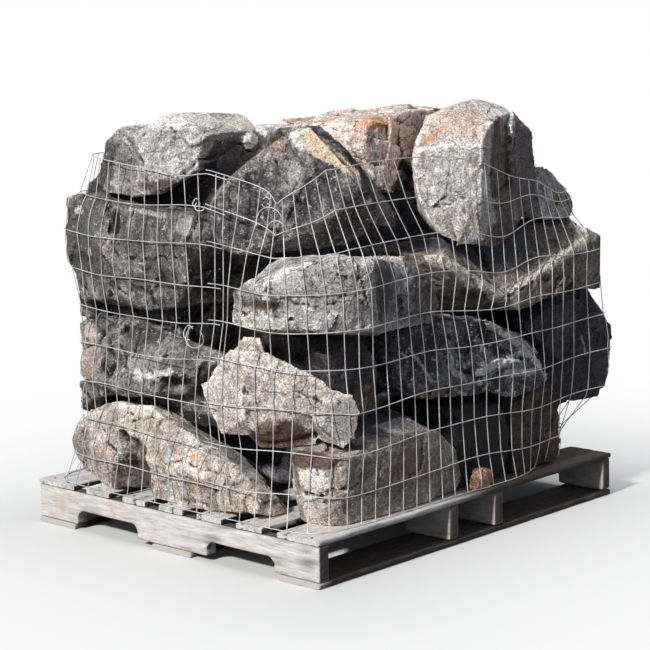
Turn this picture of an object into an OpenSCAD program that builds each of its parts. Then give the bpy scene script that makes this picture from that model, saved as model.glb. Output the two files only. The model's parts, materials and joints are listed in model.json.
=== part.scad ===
// Garden boulders stacked on a stringer pallet and wrapped in welded wire mesh.
// Millimetres, +Z up. The origin is on the ground under the middle of the pallet.
// +X runs along the deck boards, +Y along the stringers.

/* [Pallet] */
// Length of the pallet, along the deck boards
pallet_l = 1219; // [1000:1:1480]
// Width of the pallet, along the stringers
pallet_w = 1016; // [840:1:1240]
// Thickness of the deck boards and bottom boards
board_t = 16; // [12:1:22]
// Width of the inner deck boards
board_w = 89; // [70:1:100]
// Width of the first and last deck boards
lead_w = 140; // [110:1:160]
// Number of deck boards, the two lead boards included
board_n = 7; // [5:1:7]
// Width of a bottom board
bottom_w = 140; // [100:1:150]
// Width of a stringer
stringer_w = 38; // [30:1:50]
// Height of a stringer
stringer_h = 89; // [74:1:115]
// Clear width between an outer stringer and the next one
fork_gap = 458; // [350:1:480]

/* [Fork notches] */
// Length of a notch in a stringer
notch_l = 229; // [180:1:240]
// Depth of a notch
notch_h = 38; // [28:1:50]
// Radius of a notch's upper corners
notch_r = 24; // [5:1:27]
// Distance from a stringer's end to the notch
notch_end = 152; // [120:1:160]

/* [Nails] */
// Diameter of a nail's head
nail_head_d = 7; // [5:0.5:9]
// Thickness of a nail's head
nail_head_h = 1.5; // [1:0.1:2.5]
// Diameter of a nail's shank
nail_d = 3; // [2.5:0.1:3.8]
// Length of a nail
nail_l = 54; // [45:1:57]
// Distance between a joint's two nails along the stringer, as a part of the board's width
nail_spread = 0.5; // [0.3:0.05:0.7]

/* [Load] */
// How much longer the load of boulders is than the pallet
load_over = 26; // [0:1:60]
// How much narrower the load of boulders is than the pallet
load_under = 70; // [40:1:160]
// Height of the load above the deck
load_h = 1002; // [820:1:1230]

/* [Wire mesh] */
// Diameter of the wire
wire_d = 2.5; // [1.6:0.1:4]
// Distance between the upright wires
upright_pitch = 51; // [42:1:110]
// Number of line wires
line_n = 10; // [6:1:10]
// How far the top line wire stands below the top of the load
mesh_drop = 132; // [60:1:250]
// Clearance between the boulders and the wire
mesh_gap = 3; // [1:0.5:10]
// Radius that the mesh turns a corner of the load with
corner_r = 150; // [80:1:250]
// Distance between the two uprights where the mesh's ends meet
seam_gap = 14; // [8:1:40]
// Distance from the seam to the corner that the left and the front share
seam_l = 220; // [120:1:300]

/* [Hidden] */
STRINGERS = ["stringer_left", "stringer_mid_left", "stringer_mid_right", "stringer_right"];
DECK = [for (i = [1:board_n]) str("deck_board_", i)];
BOTTOM = ["bottom_board_front", "bottom_board_mid", "bottom_board_back"];

deck_z = stringer_h + 2 * board_t;
board_gap = (pallet_w - 2 * lead_w - (board_n - 2) * board_w) / (board_n - 1);
stringer_x = [
    -pallet_l / 2,
    -pallet_l / 2 + stringer_w + fork_gap,
    pallet_l / 2 - fork_gap - 2 * stringer_w,
    pallet_l / 2 - stringer_w
];

// Corners of a rough block that fills a box: three points near each of the box's corners,
// moved along the edges and a little inwards by amounts that seed picks. Its bottom stays flat.
function rough_block(low, high, seed) =
    let (
        mid = (low + high) / 2,
        half = (high - low) / 2,
        along = rands(0.2, 0.62, 24, seed),
        inwards = rands(0, 0.16, 24, seed + 1)
    )
    [for (c = [0:7], k = [0:2])
        let (
            way = [c % 2 * 2 - 1, floor(c / 2) % 2 * 2 - 1, floor(c / 4) * 2 - 1],
            part = [for (i = [0:2]) i == k
                ? 1 - along[3 * c + k]
                : (i == 2 && way[2] < 0) ? 1 : 1 - inwards[3 * c + i]]
        )
        [for (i = [0:2]) mid[i] + half[i] * way[i] * part[i]]];

// Each boulder: its name, its stone, and its corners above the middle of the deck.
BOULDERS = [
    // left side, from the deck up
    ["left_boulder_1", "tan", [
        [-545, 390, 0], [-575, 250, 0], [-565, 60, 0], [-575, -170, 0], [-545, -285, 0], [-490, -295, 0],
        [-330, -200, 0], [-300, 340, 0], [-400, 410, 0], [-560, 440, 110], [-590, 300, 100],
        [-597, 100, 110], [-595, -100, 90], [-570, -312, 30], [-420, -245, 50], [-550, 392, 180],
        [-545, 290, 228], [-540, 110, 235], [-500, -10, 205], [-460, -110, 160], [-450, -235, 90],
        [-330, 380, 160], [-350, 250, 200], [-360, 0, 160], [-350, -170, 90]]],
    ["left_boulder_2", "gray", [
        [-570, 392, 350], [-540, 385, 440], [-530, 300, 478], [-490, 180, 478], [-490, 100, 440],
        [-480, 0, 415], [-500, -80, 370], [-520, -125, 335], [-575, 365, 275], [-585, 250, 256],
        [-585, 100, 272], [-570, -20, 300], [-540, -110, 308], [-440, 200, 216], [-290, 370, 260],
        [-270, 380, 420], [-300, 100, 470], [-310, -60, 420], [-300, -80, 300], [-310, 100, 250]]],
    ["left_boulder_3", "dimgray", [
        [-570, 430, 670], [-580, 412, 590], [-550, 368, 508], [-545, 360, 772], [-480, 415, 760],
        [-590, 330, 640], [-570, 250, 768], [-550, 50, 755], [-525, -80, 725], [-540, -105, 685],
        [-560, -60, 600], [-560, -20, 500], [-585, 130, 488], [-585, 280, 495], [-490, 240, 477],
        [-290, 400, 740], [-270, 420, 520], [-280, -80, 510], [-300, -80, 700], [-290, 150, 760]]],
    ["left_boulder_4", "darkslategray", [
        [-555, 270, 850], [-560, 295, 782], [-540, 220, 930], [-500, 160, 970], [-470, 90, 985],
        [-460, -50, 940], [-520, -90, 920], [-550, -85, 860], [-560, -20, 830], [-560, 20, 792],
        [-560, 170, 772], [-400, -100, 900], [-330, -60, 950], [-300, 40, 985], [-280, 240, 975],
        [-320, 300, 930], [-270, 290, 790], [-270, 0, 790], [-420, -80, 830], [-480, 290, 768]]],
    // the corner that the left and the front share
    ["corner_boulder_1", "tan", [
        [-505, -350, 0], [-490, -440, 0], [-440, -475, 0], [-245, -480, 0], [-80, -455, 0],
        [-20, -400, 0], [-60, -250, 0], [-400, -270, 0], [-540, -345, 120], [-550, -430, 130],
        [-480, -482, 60], [-400, -488, 90], [-200, -485, 60], [-55, -465, 60], [-12, -400, 60],
        [-540, -350, 185], [-545, -420, 193], [-490, -478, 198], [-250, -478, 200], [-120, -465, 185],
        [-60, -440, 130], [-380, -330, 220], [-130, -320, 222], [-60, -280, 180], [-480, -305, 205]]],
    ["corner_boulder_2", "wheat", [
        [-590, -118, 350], [-600, -180, 255], [-590, -210, 430], [-565, -280, 436], [-600, -300, 270],
        [-605, -430, 390], [-600, -478, 290], [-570, -484, 358], [-450, -480, 318], [-460, -480, 245],
        [-545, -240, 197], [-560, -455, 202], [-500, -470, 202], [-520, -225, 425], [-510, -420, 350],
        [-450, -230, 215], [-430, -430, 214], [-500, -135, 340]]],
    ["inner_boulder_2", "dimgray", [
        [-240, -390, 320], [-245, -380, 248], [-265, -395, 400], [-300, -405, 226], [-385, -395, 240],
        [-450, -390, 400], [-470, -175, 440], [-460, -300, 446], [-300, -390, 446], [-270, -180, 440],
        [-270, -170, 250], [-390, -165, 240], [-300, -300, 459], [-290, -320, 222]]],
    ["corner_boulder_3", "silver", [
        [-590, -225, 570], [-592, -240, 482], [-570, -330, 600], [-565, -340, 458], [-540, -390, 650],
        [-500, -450, 668], [-480, -465, 455], [-400, -495, 655], [-390, -488, 455], [-310, -480, 640],
        [-270, -478, 455], [-150, -445, 453], [-120, -440, 540], [-130, -400, 560], [-400, -200, 640],
        [-420, -180, 470], [-180, -220, 600], [-200, -200, 464], [-470, -280, 610]]],
    ["corner_boulder_4", "darkslategray", [
        [-590, -130, 755], [-585, -140, 690], [-560, -165, 645], [-450, -260, 658], [-400, -330, 679],
        [-290, -435, 755], [-340, -375, 855], [-400, -310, 955], [-545, -175, 850], [-440, -260, 945],
        [-235, -460, 695], [-290, -415, 660], [-345, -245, 960], [-285, -300, 860], [-200, -380, 740],
        [-250, -250, 659], [-440, -110, 665], [-490, -60, 790], [-390, -110, 880]]],
    // front side
    ["front_boulder_1", "dimgray", [
        [5, -440, 0], [190, -455, 0], [205, -200, 0], [20, -200, 0], [-15, -460, 130],
        [-28, -440, 220], [205, -462, 200], [205, -210, 225], [-20, -210, 220], [80, -300, 238],
        [80, -468, 100], [210, -460, 60]]],
    ["front_boulder_2", "saddlebrown", [
        [225, -455, 0], [420, -450, 0], [430, -420, 0], [400, -160, 0], [225, -170, 0],
        [220, -462, 205], [440, -450, 110], [448, -440, 205], [420, -170, 200], [220, -200, 225],
        [320, -320, 243], [330, -470, 60]]],
    ["front_boulder_3", "darkslategray", [
        [-225, -450, 385], [-220, -458, 320], [-140, -465, 262], [60, -475, 236], [210, -475, 236],
        [400, -465, 242], [405, -455, 290], [345, -450, 345], [230, -455, 388], [80, -440, 448],
        [20, -420, 452], [-100, -430, 450], [-200, -430, 435], [-170, -220, 400], [-140, -180, 260],
        [100, -170, 440], [340, -170, 370], [380, -180, 250], [100, -300, 238]]],
    ["front_boulder_4", "peru", [
        [-120, -465, 625], [-60, -468, 560], [60, -482, 500], [160, -485, 455],
        [230, -485, 446], [330, -470, 446], [420, -470, 470], [590, -455, 520], [592, -450, 620],
        [530, -430, 662], [-20, -468, 630], [150, -478, 540], [230, -480, 545], [340, -470, 560],
        [480, -462, 610], [560, -220, 560], [-120, -220, 630], [540, -215, 640], [250, -200, 456],
        [-80, -230, 520], [40, -300, 448], [490, -300, 443]]],
    ["front_boulder_5", "lightgray", [
        [5, -410, 645], [45, -445, 640], [85, -470, 638], [-30, -385, 690], [-55, -362, 760],
        [-65, -350, 830], [-65, -345, 880], [88, -478, 830], [90, -475, 905], [135, -465, 638],
        [250, -445, 652], [335, -420, 730], [355, -410, 810], [350, -395, 900], [330, -385, 945],
        [240, -440, 950], [140, -460, 935], [10, -340, 965], [110, -350, 992], [200, -340, 1002],
        [300, -350, 985], [340, -350, 955], [60, -250, 760], [300, -230, 780], [110, -250, 960],
        [300, -240, 955], [100, -240, 660]]],
    ["right_boulder_2", "black", [
        [300, -440, 385], [410, -440, 438], [560, -440, 445], [600, -445, 425], [640, -440, 330],
        [632, -440, 230], [600, -440, 190], [470, -445, 270], [420, -440, 298], [570, -170, 430],
        [600, -180, 300], [570, -180, 225], [420, -170, 440], [465, -390, 250], [550, -130, 229], [395, -400, 400]]],
    ["right_boulder_4", "gray", [
        [400, -420, 668], [560, -400, 658], [600, -390, 700], [590, -375, 740], [540, -370, 785],
        [480, -370, 812], [410, -390, 790], [400, -220, 668], [560, -220, 658], [540, -230, 780],
        [400, -240, 800]]],
    ["pebble", "chocolate", [
        [8, -492, 0], [70, -496, 0], [75, -478, 0], [15, -474, 0], [3, -484, 35],
        [60, -497, 45], [78, -484, 30], [55, -476, 55], [20, -478, 58]]],
    // the top, behind the front course
    ["top_boulder_1", "sandybrown", [
        [-180, -290, 880], [-140, -300, 790], [-90, -290, 770], [-85, -285, 950], [-150, -280, 962],
        [40, -215, 767], [50, -215, 972], [160, -160, 985], [260, -100, 960], [270, 0, 940],
        [150, 60, 950], [-40, 0, 965], [-170, -80, 950], [-210, -190, 900], [-190, -70, 766],
        [90, 30, 760], [240, -40, 766]]],
    ["top_boulder_2", "burlywood", rough_block([-270, 5, 760], [-55, 168, 942], 24)],
    ["top_boulder_3", "gray", rough_block([290, -190, 700], [560, 110, 920], 36)],
    // right end and back
    ["right_boulder_1", "gray", rough_block([240, -150, 0], [590, 150, 230], 41)],
    ["right_boulder_3", "tan", rough_block([240, -160, 446], [600, 190, 700], 53)],
    ["inner_boulder_1", "dimgray", rough_block([-300, -180, 0], [210, 150, 232], 67)],
    ["inner_boulder_3", "dimgray", rough_block([-275, -165, 455], [220, 160, 764], 71)],
    ["middle_boulder_2", "gray", rough_block([-290, -160, 222], [230, 160, 455], 83)],
    ["right_boulder_5", "dimgray", rough_block([250, -138, 230], [615, 180, 452], 97)],
    ["back_boulder_1", "gray", rough_block([-280, 165, 0], [180, 450, 232], 101)],
    ["back_boulder_2", "tan", rough_block([200, 165, 0], [590, 450, 240], 113)],
    ["back_boulder_3", "dimgray", rough_block([-250, 175, 233], [210, 455, 462], 127)],
    ["back_boulder_4", "gray", rough_block([230, 195, 234], [610, 450, 460], 131)],
    ["back_boulder_5", "tan", rough_block([-260, 175, 463], [170, 455, 720], 149)],
    ["back_boulder_6", "gray", rough_block([190, 205, 452], [590, 450, 705], 151)],
    ["back_boulder_7", "dimgray", rough_block([-240, 180, 714], [185, 440, 905], 163)],
    ["back_boulder_8", "burlywood", rough_block([210, 130, 704], [560, 430, 930], 173)],
];

MESH = ["mesh_front", "mesh_right", "mesh_back", "mesh_left"];

// The table's corners are stretched to a load of the size set above.
corners = [for (b = BOULDERS) each b[2]];
drawn_size = [for (i = [0:2])
    let (places = [for (p = corners) p[i]])
    max(places) - min(places)];
load_size = [pallet_l + load_over, pallet_w - load_under, load_h];
stretch = [for (i = [0:2]) load_size[i] / drawn_size[i]];
function placed(p) = [p[0] * stretch[0], p[1] * stretch[1], deck_z + p[2] * stretch[2]];

// ---- pallet ----

// The first and last deck boards are the wide lead boards.
function deck_board_w(i) = (i == 0 || i == board_n - 1) ? lead_w : board_w;
function deck_board_y(i) = -pallet_w / 2 + (i == 0 ? 0 : lead_w + board_gap + (i - 1) * (board_w + board_gap));
function bottom_board_y(i) = (i - 1) * (pallet_w - bottom_w) / 2 - bottom_w / 2;

// Two nails hold a board to each stringer, and lean says which of the two stands further right.
function nail_pair(x, y, w, lean) = [for (side = [-1, 1])
    [x + stringer_w * (1 / 2 + side * lean / 6), y + w * (1 + side * nail_spread) / 2]];
function deck_nails(stringers, boards) = [for (x = stringers, i = boards)
    each nail_pair(x, deck_board_y(i), deck_board_w(i), 1)];
function bottom_nails(stringers, boards) = [for (x = stringers, i = boards)
    each nail_pair(x, bottom_board_y(i), bottom_w, -1)];
deck_rows = [0:board_n - 1];
bottom_rows = [0:2];

module nail() {
    translate([0, 0, -nail_head_h])
        cylinder(d = nail_head_d, h = nail_head_h, $fn = 24);
    translate([0, 0, -nail_l])
        cylinder(d = nail_d, h = nail_l - nail_head_h, $fn = 24);
}

// Nails driven down through the deck, and up through the bottom boards, with their heads flush.
module nails(deck_spots, bottom_spots) {
    for (p = deck_spots)
        translate([p[0], p[1], deck_z])
            nail();
    for (p = bottom_spots)
        translate([p[0], p[1], 0])
            mirror([0, 0, 1])
                nail();
}

module notch_outline() {
    translate([-notch_l / 2, -1])
        square([notch_l, notch_h - notch_r + 1]);
    translate([-notch_l / 2 + notch_r, -1])
        square([notch_l - 2 * notch_r, notch_h + 1]);
    for (side = [-1, 1])
        translate([side * (notch_l / 2 - notch_r), notch_h - notch_r])
            circle(r = notch_r, $fn = 48);
}

// Side view of a stringer, with a notch for the forks near each end.
module stringer_outline() {
    difference() {
        translate([-pallet_w / 2, 0])
            square([pallet_w, stringer_h]);
        for (side = [-1, 1])
            translate([side * (pallet_w / 2 - notch_end - notch_l / 2), 0])
                notch_outline();
    }
}

module stringer(i) {
    color("burlywood")
        difference() {
            translate([stringer_x[i], 0, board_t])
                rotate([90, 0, 90])
                    linear_extrude(stringer_w)
                        stringer_outline();
            nails(deck_nails([stringer_x[i]], deck_rows), bottom_nails([stringer_x[i]], bottom_rows));
        }
}

module deck_board(i) {
    color("tan")
        difference() {
            translate([-pallet_l / 2, deck_board_y(i), stringer_h + board_t])
                cube([pallet_l, deck_board_w(i), board_t]);
            nails(deck_nails(stringer_x, [i]), []);
        }
}

module bottom_board(i) {
    color("tan")
        difference() {
            translate([-pallet_l / 2, bottom_board_y(i), 0])
                cube([pallet_l, bottom_w, board_t]);
            nails([], bottom_nails(stringer_x, [i]));
        }
}

// ---- boulders ----

// A boulder is the hull of its corners.
module boulder(b) {
    color(b[1])
        hull()
            polyhedron([for (p = b[2]) placed(p)], [[for (i = [0:len(b[2]) - 1]) i]]);
}

// ---- wire mesh ----

line_step = (load_h - mesh_drop) / (line_n - 1);
function line_z(k) = deck_z + wire_d / 2 + k * line_step;

// The uprights stand along a rounded rectangle around the load, from the seam on the left
// side round the front. All bays are alike, apart from the narrow one at the seam.
side_x = load_size[0] - 2 * corner_r;
side_y = load_size[1] - 2 * corner_r;
quarter = PI * corner_r / 2;
wrap_l = 2 * side_x + 2 * side_y + 4 * quarter;
upright_n = round((wrap_l - seam_gap) / upright_pitch) + 1;
bay = (wrap_l - seam_gap) / (upright_n - 1);

function arc_point(x, y, start, s) = let (a = start + 90 * s / quarter)
    [x + corner_r * cos(a), y + corner_r * sin(a)];

// Point at a distance along the rounded rectangle from the left side's back end.
function path_point(s) =
    s < side_y ? [-side_x / 2 - corner_r, side_y / 2 - s]
    : s < side_y + quarter ? arc_point(-side_x / 2, -side_y / 2, 180, s - side_y)
    : s < side_y + quarter + side_x ? [-side_x / 2 + s - side_y - quarter, -side_y / 2 - corner_r]
    : s < wrap_l / 2 ? arc_point(side_x / 2, -side_y / 2, 270, s - side_y - quarter - side_x)
    : -path_point(s - wrap_l / 2);

upright_angle = [for (i = [0:upright_n - 1])
    let (p = path_point((side_y - seam_l + i * bay) % wrap_l))
    atan2(p[1], p[0])];

// Plan points of a boulder's outline between two heights: its corners there,
// and where the lines between its corners cross either height.
function slice(corners, z0, z1) = concat(
    [for (p = corners) if (p[2] >= z0 && p[2] <= z1) [p[0], p[1]]],
    [for (z = [z0, z1], i = [0:len(corners) - 2], j = [i + 1:len(corners) - 1])
        let (a = corners[i], b = corners[j])
        if ((a[2] - z) * (b[2] - z) < 0)
            let (t = (z - a[2]) / (b[2] - a[2]))
            [a[0] + t * (b[0] - a[0]), a[1] + t * (b[1] - a[1])]]);

// How far the boulders reach between two heights, in directions a few degrees apart.
reach_step = 9;
function reach(z0, z1) =
    let (points = [for (b = BOULDERS) each slice([for (p = b[2]) placed(p)], z0, z1)])
    [for (a = [0:reach_step:359]) max([for (p = points) p * [cos(a), sin(a)]])];

// Distance out to a tight wrap around that reach, at one angle from the middle.
function wrap_r(reaches, angle) = min([
    for (k = [0:len(reaches) - 1])
        let (c = cos(angle - k * reach_step))
        if (c > 0.2) reaches[k] / c]);

// Radii of one line wire at each upright. Each takes in three quarters of a bay either side,
// so that the straight wire between two uprights stays clear of a boulder's corner.
half_bay = atan(bay / min(load_size[0], load_size[1]));
function line_radii(k) =
    let (reaches = reach(max(line_z(k) - line_step, deck_z + 0.1), line_z(k) + line_step))
    [for (a = upright_angle)
        max([for (d = [-1.5:0.5:1.5]) wrap_r(reaches, a + d * half_bay)]) + mesh_gap + wire_d / 2];

// Eight corners of the wire where an upright crosses a line wire. They are inner then
// outer, low then high, and back then forward along the line wire.
function crossing(angle, radius, z) =
    let (
        w = wire_d / 2,
        out = [cos(angle), sin(angle), 0],
        side = [-sin(angle), cos(angle), 0],
        up = [0, 0, 1],
        mid = radius * out + z * up
    )
    [for (o = [-w, w], u = [-w, w], s = [-w, w]) mid + o * out + u * up + s * side];

// Faces of one crossing and of the wires that leave it. n, next and above are the first
// corners of this crossing, of the one along the line wire and of the one up the upright.
function crossing_faces(n, next, above, is_first, is_last, is_lowest) = concat(
    [
        [n, n + 2, n + 3, n + 1],
        [n + 4, n + 5, n + 7, n + 6],
        [n + 1, n + 3, next + 2, next],
        [n + 7, n + 5, next + 4, next + 6],
        [n + 5, n + 1, next, next + 4],
        [n + 3, n + 7, next + 6, next + 2]
    ],
    is_undef(above) ? [[n + 2, n + 6, n + 7, n + 3]] : [
        [n + 2, above, above + 1, n + 3],
        [n + 7, above + 5, above + 4, n + 6],
        [n + 6, above + 4, above, n + 2],
        [n + 3, above + 1, above + 5, n + 7]],
    is_first ? [[n, n + 4, n + 6, n + 2]] : [],
    is_last ? [[next, next + 2, next + 6, next + 4]] : [],
    is_lowest ? [[n, n + 1, n + 5, n + 4]] : []);

// The mesh from one upright up to the next panel's first, which its line wires run on to.
module mesh_panel(first, next_first) {
    radii = [for (k = [0:line_n - 1]) line_radii(k)];
    n = next_first - first;
    points = [for (i = [0:n], k = [0:line_n - 1])
        let (u = (first + i) % upright_n)
        each crossing(upright_angle[u], radii[k][u], line_z(k))];
    faces = [for (i = [0:n - 1], k = [0:line_n - 1])
        let (c = 8 * (i * line_n + k))
        each crossing_faces(
            c,
            c + 8 * line_n,
            k < line_n - 1 ? c + 8 : undef,
            i == 0,
            i == n - 1,
            k == 0)];
    color("lightsteelblue")
        polyhedron(points, faces);
}

// The panels meet at the middle of the front right, back right and back left corners.
front_right = seam_l + 1.5 * quarter + side_x;
back_right = front_right + quarter + side_y;
back_left = back_right + quarter + side_x;
panel_start = [
    0,
    round(front_right / bay),
    round(back_right / bay),
    round(back_left / bay),
    upright_n
];

for (i = [0:len(STRINGERS) - 1])
    stringer(i);
for (i = deck_rows)
    deck_board(i);
for (i = bottom_rows)
    bottom_board(i);
color("slategray") nails(deck_nails(stringer_x, deck_rows), bottom_nails(stringer_x, bottom_rows));
for (b = BOULDERS)
    boulder(b);
for (i = [0:len(MESH) - 1])
    mesh_panel(panel_start[i], panel_start[i + 1]);
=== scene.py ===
"""Looks of a pallet of garden boulders.

Rough boulders stand in courses on a notched stringer pallet, and a wrap of galvanised
welded wire mesh holds them. Places are in metres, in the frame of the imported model, and
a size in millimetres says so.
"""

from __future__ import annotations

import sys

import json
import logging
import math
from collections.abc import Sequence
from dataclasses import dataclass, field
from enum import Enum
from itertools import product

import bmesh
import bpy
import numpy as np
from bpy.types import Material, Mesh, Node, NodeOutputs, NodeSocket, NodeTree, Object
from mathutils import Euler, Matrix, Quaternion, Vector
from mathutils.bvhtree import BVHTree

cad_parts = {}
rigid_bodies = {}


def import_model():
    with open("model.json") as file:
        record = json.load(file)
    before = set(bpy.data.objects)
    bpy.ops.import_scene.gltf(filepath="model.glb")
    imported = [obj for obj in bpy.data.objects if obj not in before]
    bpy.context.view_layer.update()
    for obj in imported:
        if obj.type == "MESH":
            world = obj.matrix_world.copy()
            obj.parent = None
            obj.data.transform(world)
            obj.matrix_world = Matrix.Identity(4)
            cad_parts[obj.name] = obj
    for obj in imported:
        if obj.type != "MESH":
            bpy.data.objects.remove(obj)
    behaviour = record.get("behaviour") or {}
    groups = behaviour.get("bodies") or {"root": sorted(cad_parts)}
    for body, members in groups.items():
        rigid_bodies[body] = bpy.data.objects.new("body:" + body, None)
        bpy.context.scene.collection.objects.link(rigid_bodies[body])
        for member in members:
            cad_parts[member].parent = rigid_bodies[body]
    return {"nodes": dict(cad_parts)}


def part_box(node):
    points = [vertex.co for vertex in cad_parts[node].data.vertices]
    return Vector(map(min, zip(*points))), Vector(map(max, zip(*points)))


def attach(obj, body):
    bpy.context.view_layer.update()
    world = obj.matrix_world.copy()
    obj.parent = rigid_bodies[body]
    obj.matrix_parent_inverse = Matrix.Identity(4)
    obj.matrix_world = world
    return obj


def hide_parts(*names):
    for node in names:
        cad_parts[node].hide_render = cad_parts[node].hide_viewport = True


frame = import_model()

LOG = logging.getLogger("boulder_pallet")
MM = 0.001
BODY = "root"
WELD = 0.05 * MM
Point = tuple[float, float, float]


class Slot(Enum):
    """The record's material slots."""

    BROWN_STONE = "brown_stone"
    DARK_STONE = "dark_stone"
    DECK_WOOD = "deck_wood"
    GREY_STONE = "grey_stone"
    ORANGE_STONE = "orange_stone"
    PALE_STONE = "pale_stone"
    STRINGER_WOOD = "stringer_wood"
    TAN_STONE = "tan_stone"
    WIRE = "wire"


# ---- shared helpers ----


def linear(colour: str) -> tuple[float, float, float, float]:
    """Turns an sRGB hex colour into linear values.

    Args:
        colour: The colour as #RRGGBB.

    Returns:
        Red, green, blue and an alpha of 1.
    """
    parts = [int(colour[i : i + 2], 16) / 255 for i in (1, 3, 5)]
    return (*(p / 12.92 if p <= 0.04045 else ((p + 0.055) / 1.055) ** 2.4 for p in parts), 1.0)


def add(tree: NodeTree, kind: str, inputs: dict | None = None, **settings) -> Node:
    """Adds a node with its settings and links.

    Args:
        tree: The tree that gets the node.
        kind: The node's type.
        inputs: A value, a socket or a node for each input, by its name or number.
        **settings: The node's own properties.

    Returns:
        The new node.
    """
    node = tree.nodes.new(kind)
    for key, value in settings.items():
        setattr(node, key, value)
    for key, value in (inputs or {}).items():
        if isinstance(value, Node):
            value = value.outputs[0]
        if isinstance(value, NodeSocket):
            tree.links.new(value, node.inputs[key])
        else:
            node.inputs[key].default_value = value
    return node


def show(name: str, mesh: Mesh) -> Object:
    """Makes an object of a mesh and puts it in the scene.

    Args:
        name: The object's name.
        mesh: Its mesh.

    Returns:
        The object.
    """
    piece = bpy.data.objects.new(name, mesh)
    bpy.context.scene.collection.objects.link(piece)
    return piece


def settle(piece: Object) -> None:
    """Turns a piece's modifiers into plain mesh.

    Args:
        piece: The piece.
    """
    view = bpy.context.evaluated_depsgraph_get()
    mesh = bpy.data.meshes.new_from_object(piece.evaluated_get(view))
    piece.modifiers.clear()
    piece.data = mesh


def dress(piece: Object, finish: Material, slot: Slot, *nodes: str) -> None:
    """Gives a finished piece its finish and its body, and hides the model's nodes that it replaces.

    Args:
        piece: The piece.
        finish: Its material.
        slot: The record's slot for that material; not used.
        *nodes: The nodes that the piece replaces.
    """
    piece.data.materials.clear()
    piece.data.materials.append(finish)
    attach(piece, BODY)
    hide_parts(*nodes)
    LOG.info("%s: %d faces", piece.name, len(piece.data.polygons))


def blank(name: str) -> tuple[Material, NodeTree, NodeSocket]:
    """Starts a material.

    Args:
        name: The material's name.

    Returns:
        The material, its empty tree, and the socket that gives places on the piece.
    """
    material = bpy.data.materials.new(name)
    material.use_nodes = True
    tree = material.node_tree
    tree.nodes.clear()
    return material, tree, add(tree, "ShaderNodeTexCoord").outputs["Object"]


def three_tones(
    tree: NodeTree, value: Node, tones: tuple[str, str, str], stops: tuple[float, float, float]
) -> NodeSocket:
    """Gives a pattern three colours, from its low values to its high ones.

    Args:
        tree: The material's tree.
        value: The pattern.
        tones: The colours.
        stops: The values that have exactly these colours.

    Returns:
        The colour.
    """
    ramp = add(tree, "ShaderNodeValToRGB", {"Fac": value})
    ends = ramp.color_ramp.elements
    ends[0].position, ends[0].color = stops[0], linear(tones[0])
    ends[1].position, ends[1].color = stops[2], linear(tones[2])
    ends.new(stops[1]).color = linear(tones[1])
    return ramp.outputs["Color"]


def lay_over(tree: NodeTree, colour: NodeSocket, layers: Sequence[tuple]) -> NodeSocket:
    """Lays patches of other colours over a colour.

    Args:
        tree: The material's tree.
        colour: The colour underneath.
        layers: For each patch its pattern, the value where it starts, how far beyond that it is
            full, how much it covers at most, and its colour.

    Returns:
        The colour with the patches on it.
    """
    for value, start, width, most, tint in layers:
        mask = add(
            tree, "ShaderNodeMapRange",
            {"Value": value, "From Min": start, "From Max": start + width, "To Max": most},
            interpolation_type="SMOOTHSTEP",
        )
        colour = add(tree, "ShaderNodeMix", {0: mask, 6: colour, 7: tint}, data_type="RGBA").outputs[2]
    return colour


def open_group(name: str) -> NodeTree:
    """Starts a geometry node tree that takes and gives one geometry.

    Args:
        name: The tree's name.

    Returns:
        The tree.
    """
    tree = bpy.data.node_groups.new(name, "GeometryNodeTree")
    for way in ("INPUT", "OUTPUT"):
        tree.interface.new_socket("Geometry", in_out=way, socket_type="NodeSocketGeometry")
    return tree


def close_group(tree: NodeTree, shape: Node, finish: NodeSocket) -> None:
    """Ends a geometry node tree: its shape is made real and gets its finish.

    Args:
        tree: The tree.
        shape: The node that gives the shape.
        finish: The socket that gives the material.
    """
    whole = add(tree, "GeometryNodeRealizeInstances", {"Geometry": shape})
    dressed = add(tree, "GeometryNodeSetMaterial", {"Geometry": whole, "Material": finish})
    add(tree, "NodeGroupOutput", {"Geometry": dressed})


def remesh(piece: Object, size: float) -> None:
    """Gives a piece a skin of even faces.

    Args:
        piece: The piece.
        size: About how large a face is, in metres.
    """
    even = piece.modifiers.new("even skin", "REMESH")
    even.mode = "VOXEL"
    even.voxel_size = size
    settle(piece)


def welded(node: str) -> bmesh.types.BMesh:
    """Copies the mesh of one of the model's nodes and joins the corners that meet.

    Args:
        node: The node.

    Returns:
        The copy, open for editing.
    """
    solid = bmesh.new()
    solid.from_mesh(frame["nodes"][node].data)
    bmesh.ops.remove_doubles(solid, verts=solid.verts, dist=WELD)
    return solid


def as_mesh(solid: bmesh.types.BMesh, name: str) -> Mesh:
    """Turns a solid that was being edited into a mesh, and frees it.

    Args:
        solid: The solid.
        name: The mesh's name.

    Returns:
        The mesh.
    """
    mesh = bpy.data.meshes.new(name)
    solid.to_mesh(mesh)
    solid.free()
    return mesh


def places(mesh: Mesh, what: str = "co") -> np.ndarray:
    """Reads a vector of each vertex of a mesh.

    Args:
        mesh: The mesh.
        what: The vector, such as co for its place or normal.

    Returns:
        One row for each vertex.
    """
    values = np.empty(len(mesh.vertices) * 3, np.float32)
    mesh.vertices.foreach_get(what, values)
    return values.reshape(-1, 3).astype(float)


def move_to(mesh: Mesh, points: np.ndarray) -> None:
    """Moves the vertices of a mesh to new places."""
    mesh.vertices.foreach_set("co", points.astype(np.float32).ravel())
    mesh.update()


def store(mesh: Mesh, name: str, values: np.ndarray) -> None:
    """Stores one value for each vertex of a mesh."""
    attribute = mesh.attributes.new(name, "FLOAT", "POINT")
    attribute.data.foreach_set("value", values.astype(np.float32))


def ease(values: np.ndarray) -> np.ndarray:
    """Smooths values from 0 to 1 so that they start and end gently."""
    values = np.clip(values, 0, 1)
    return values * values * (3 - 2 * values)


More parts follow.
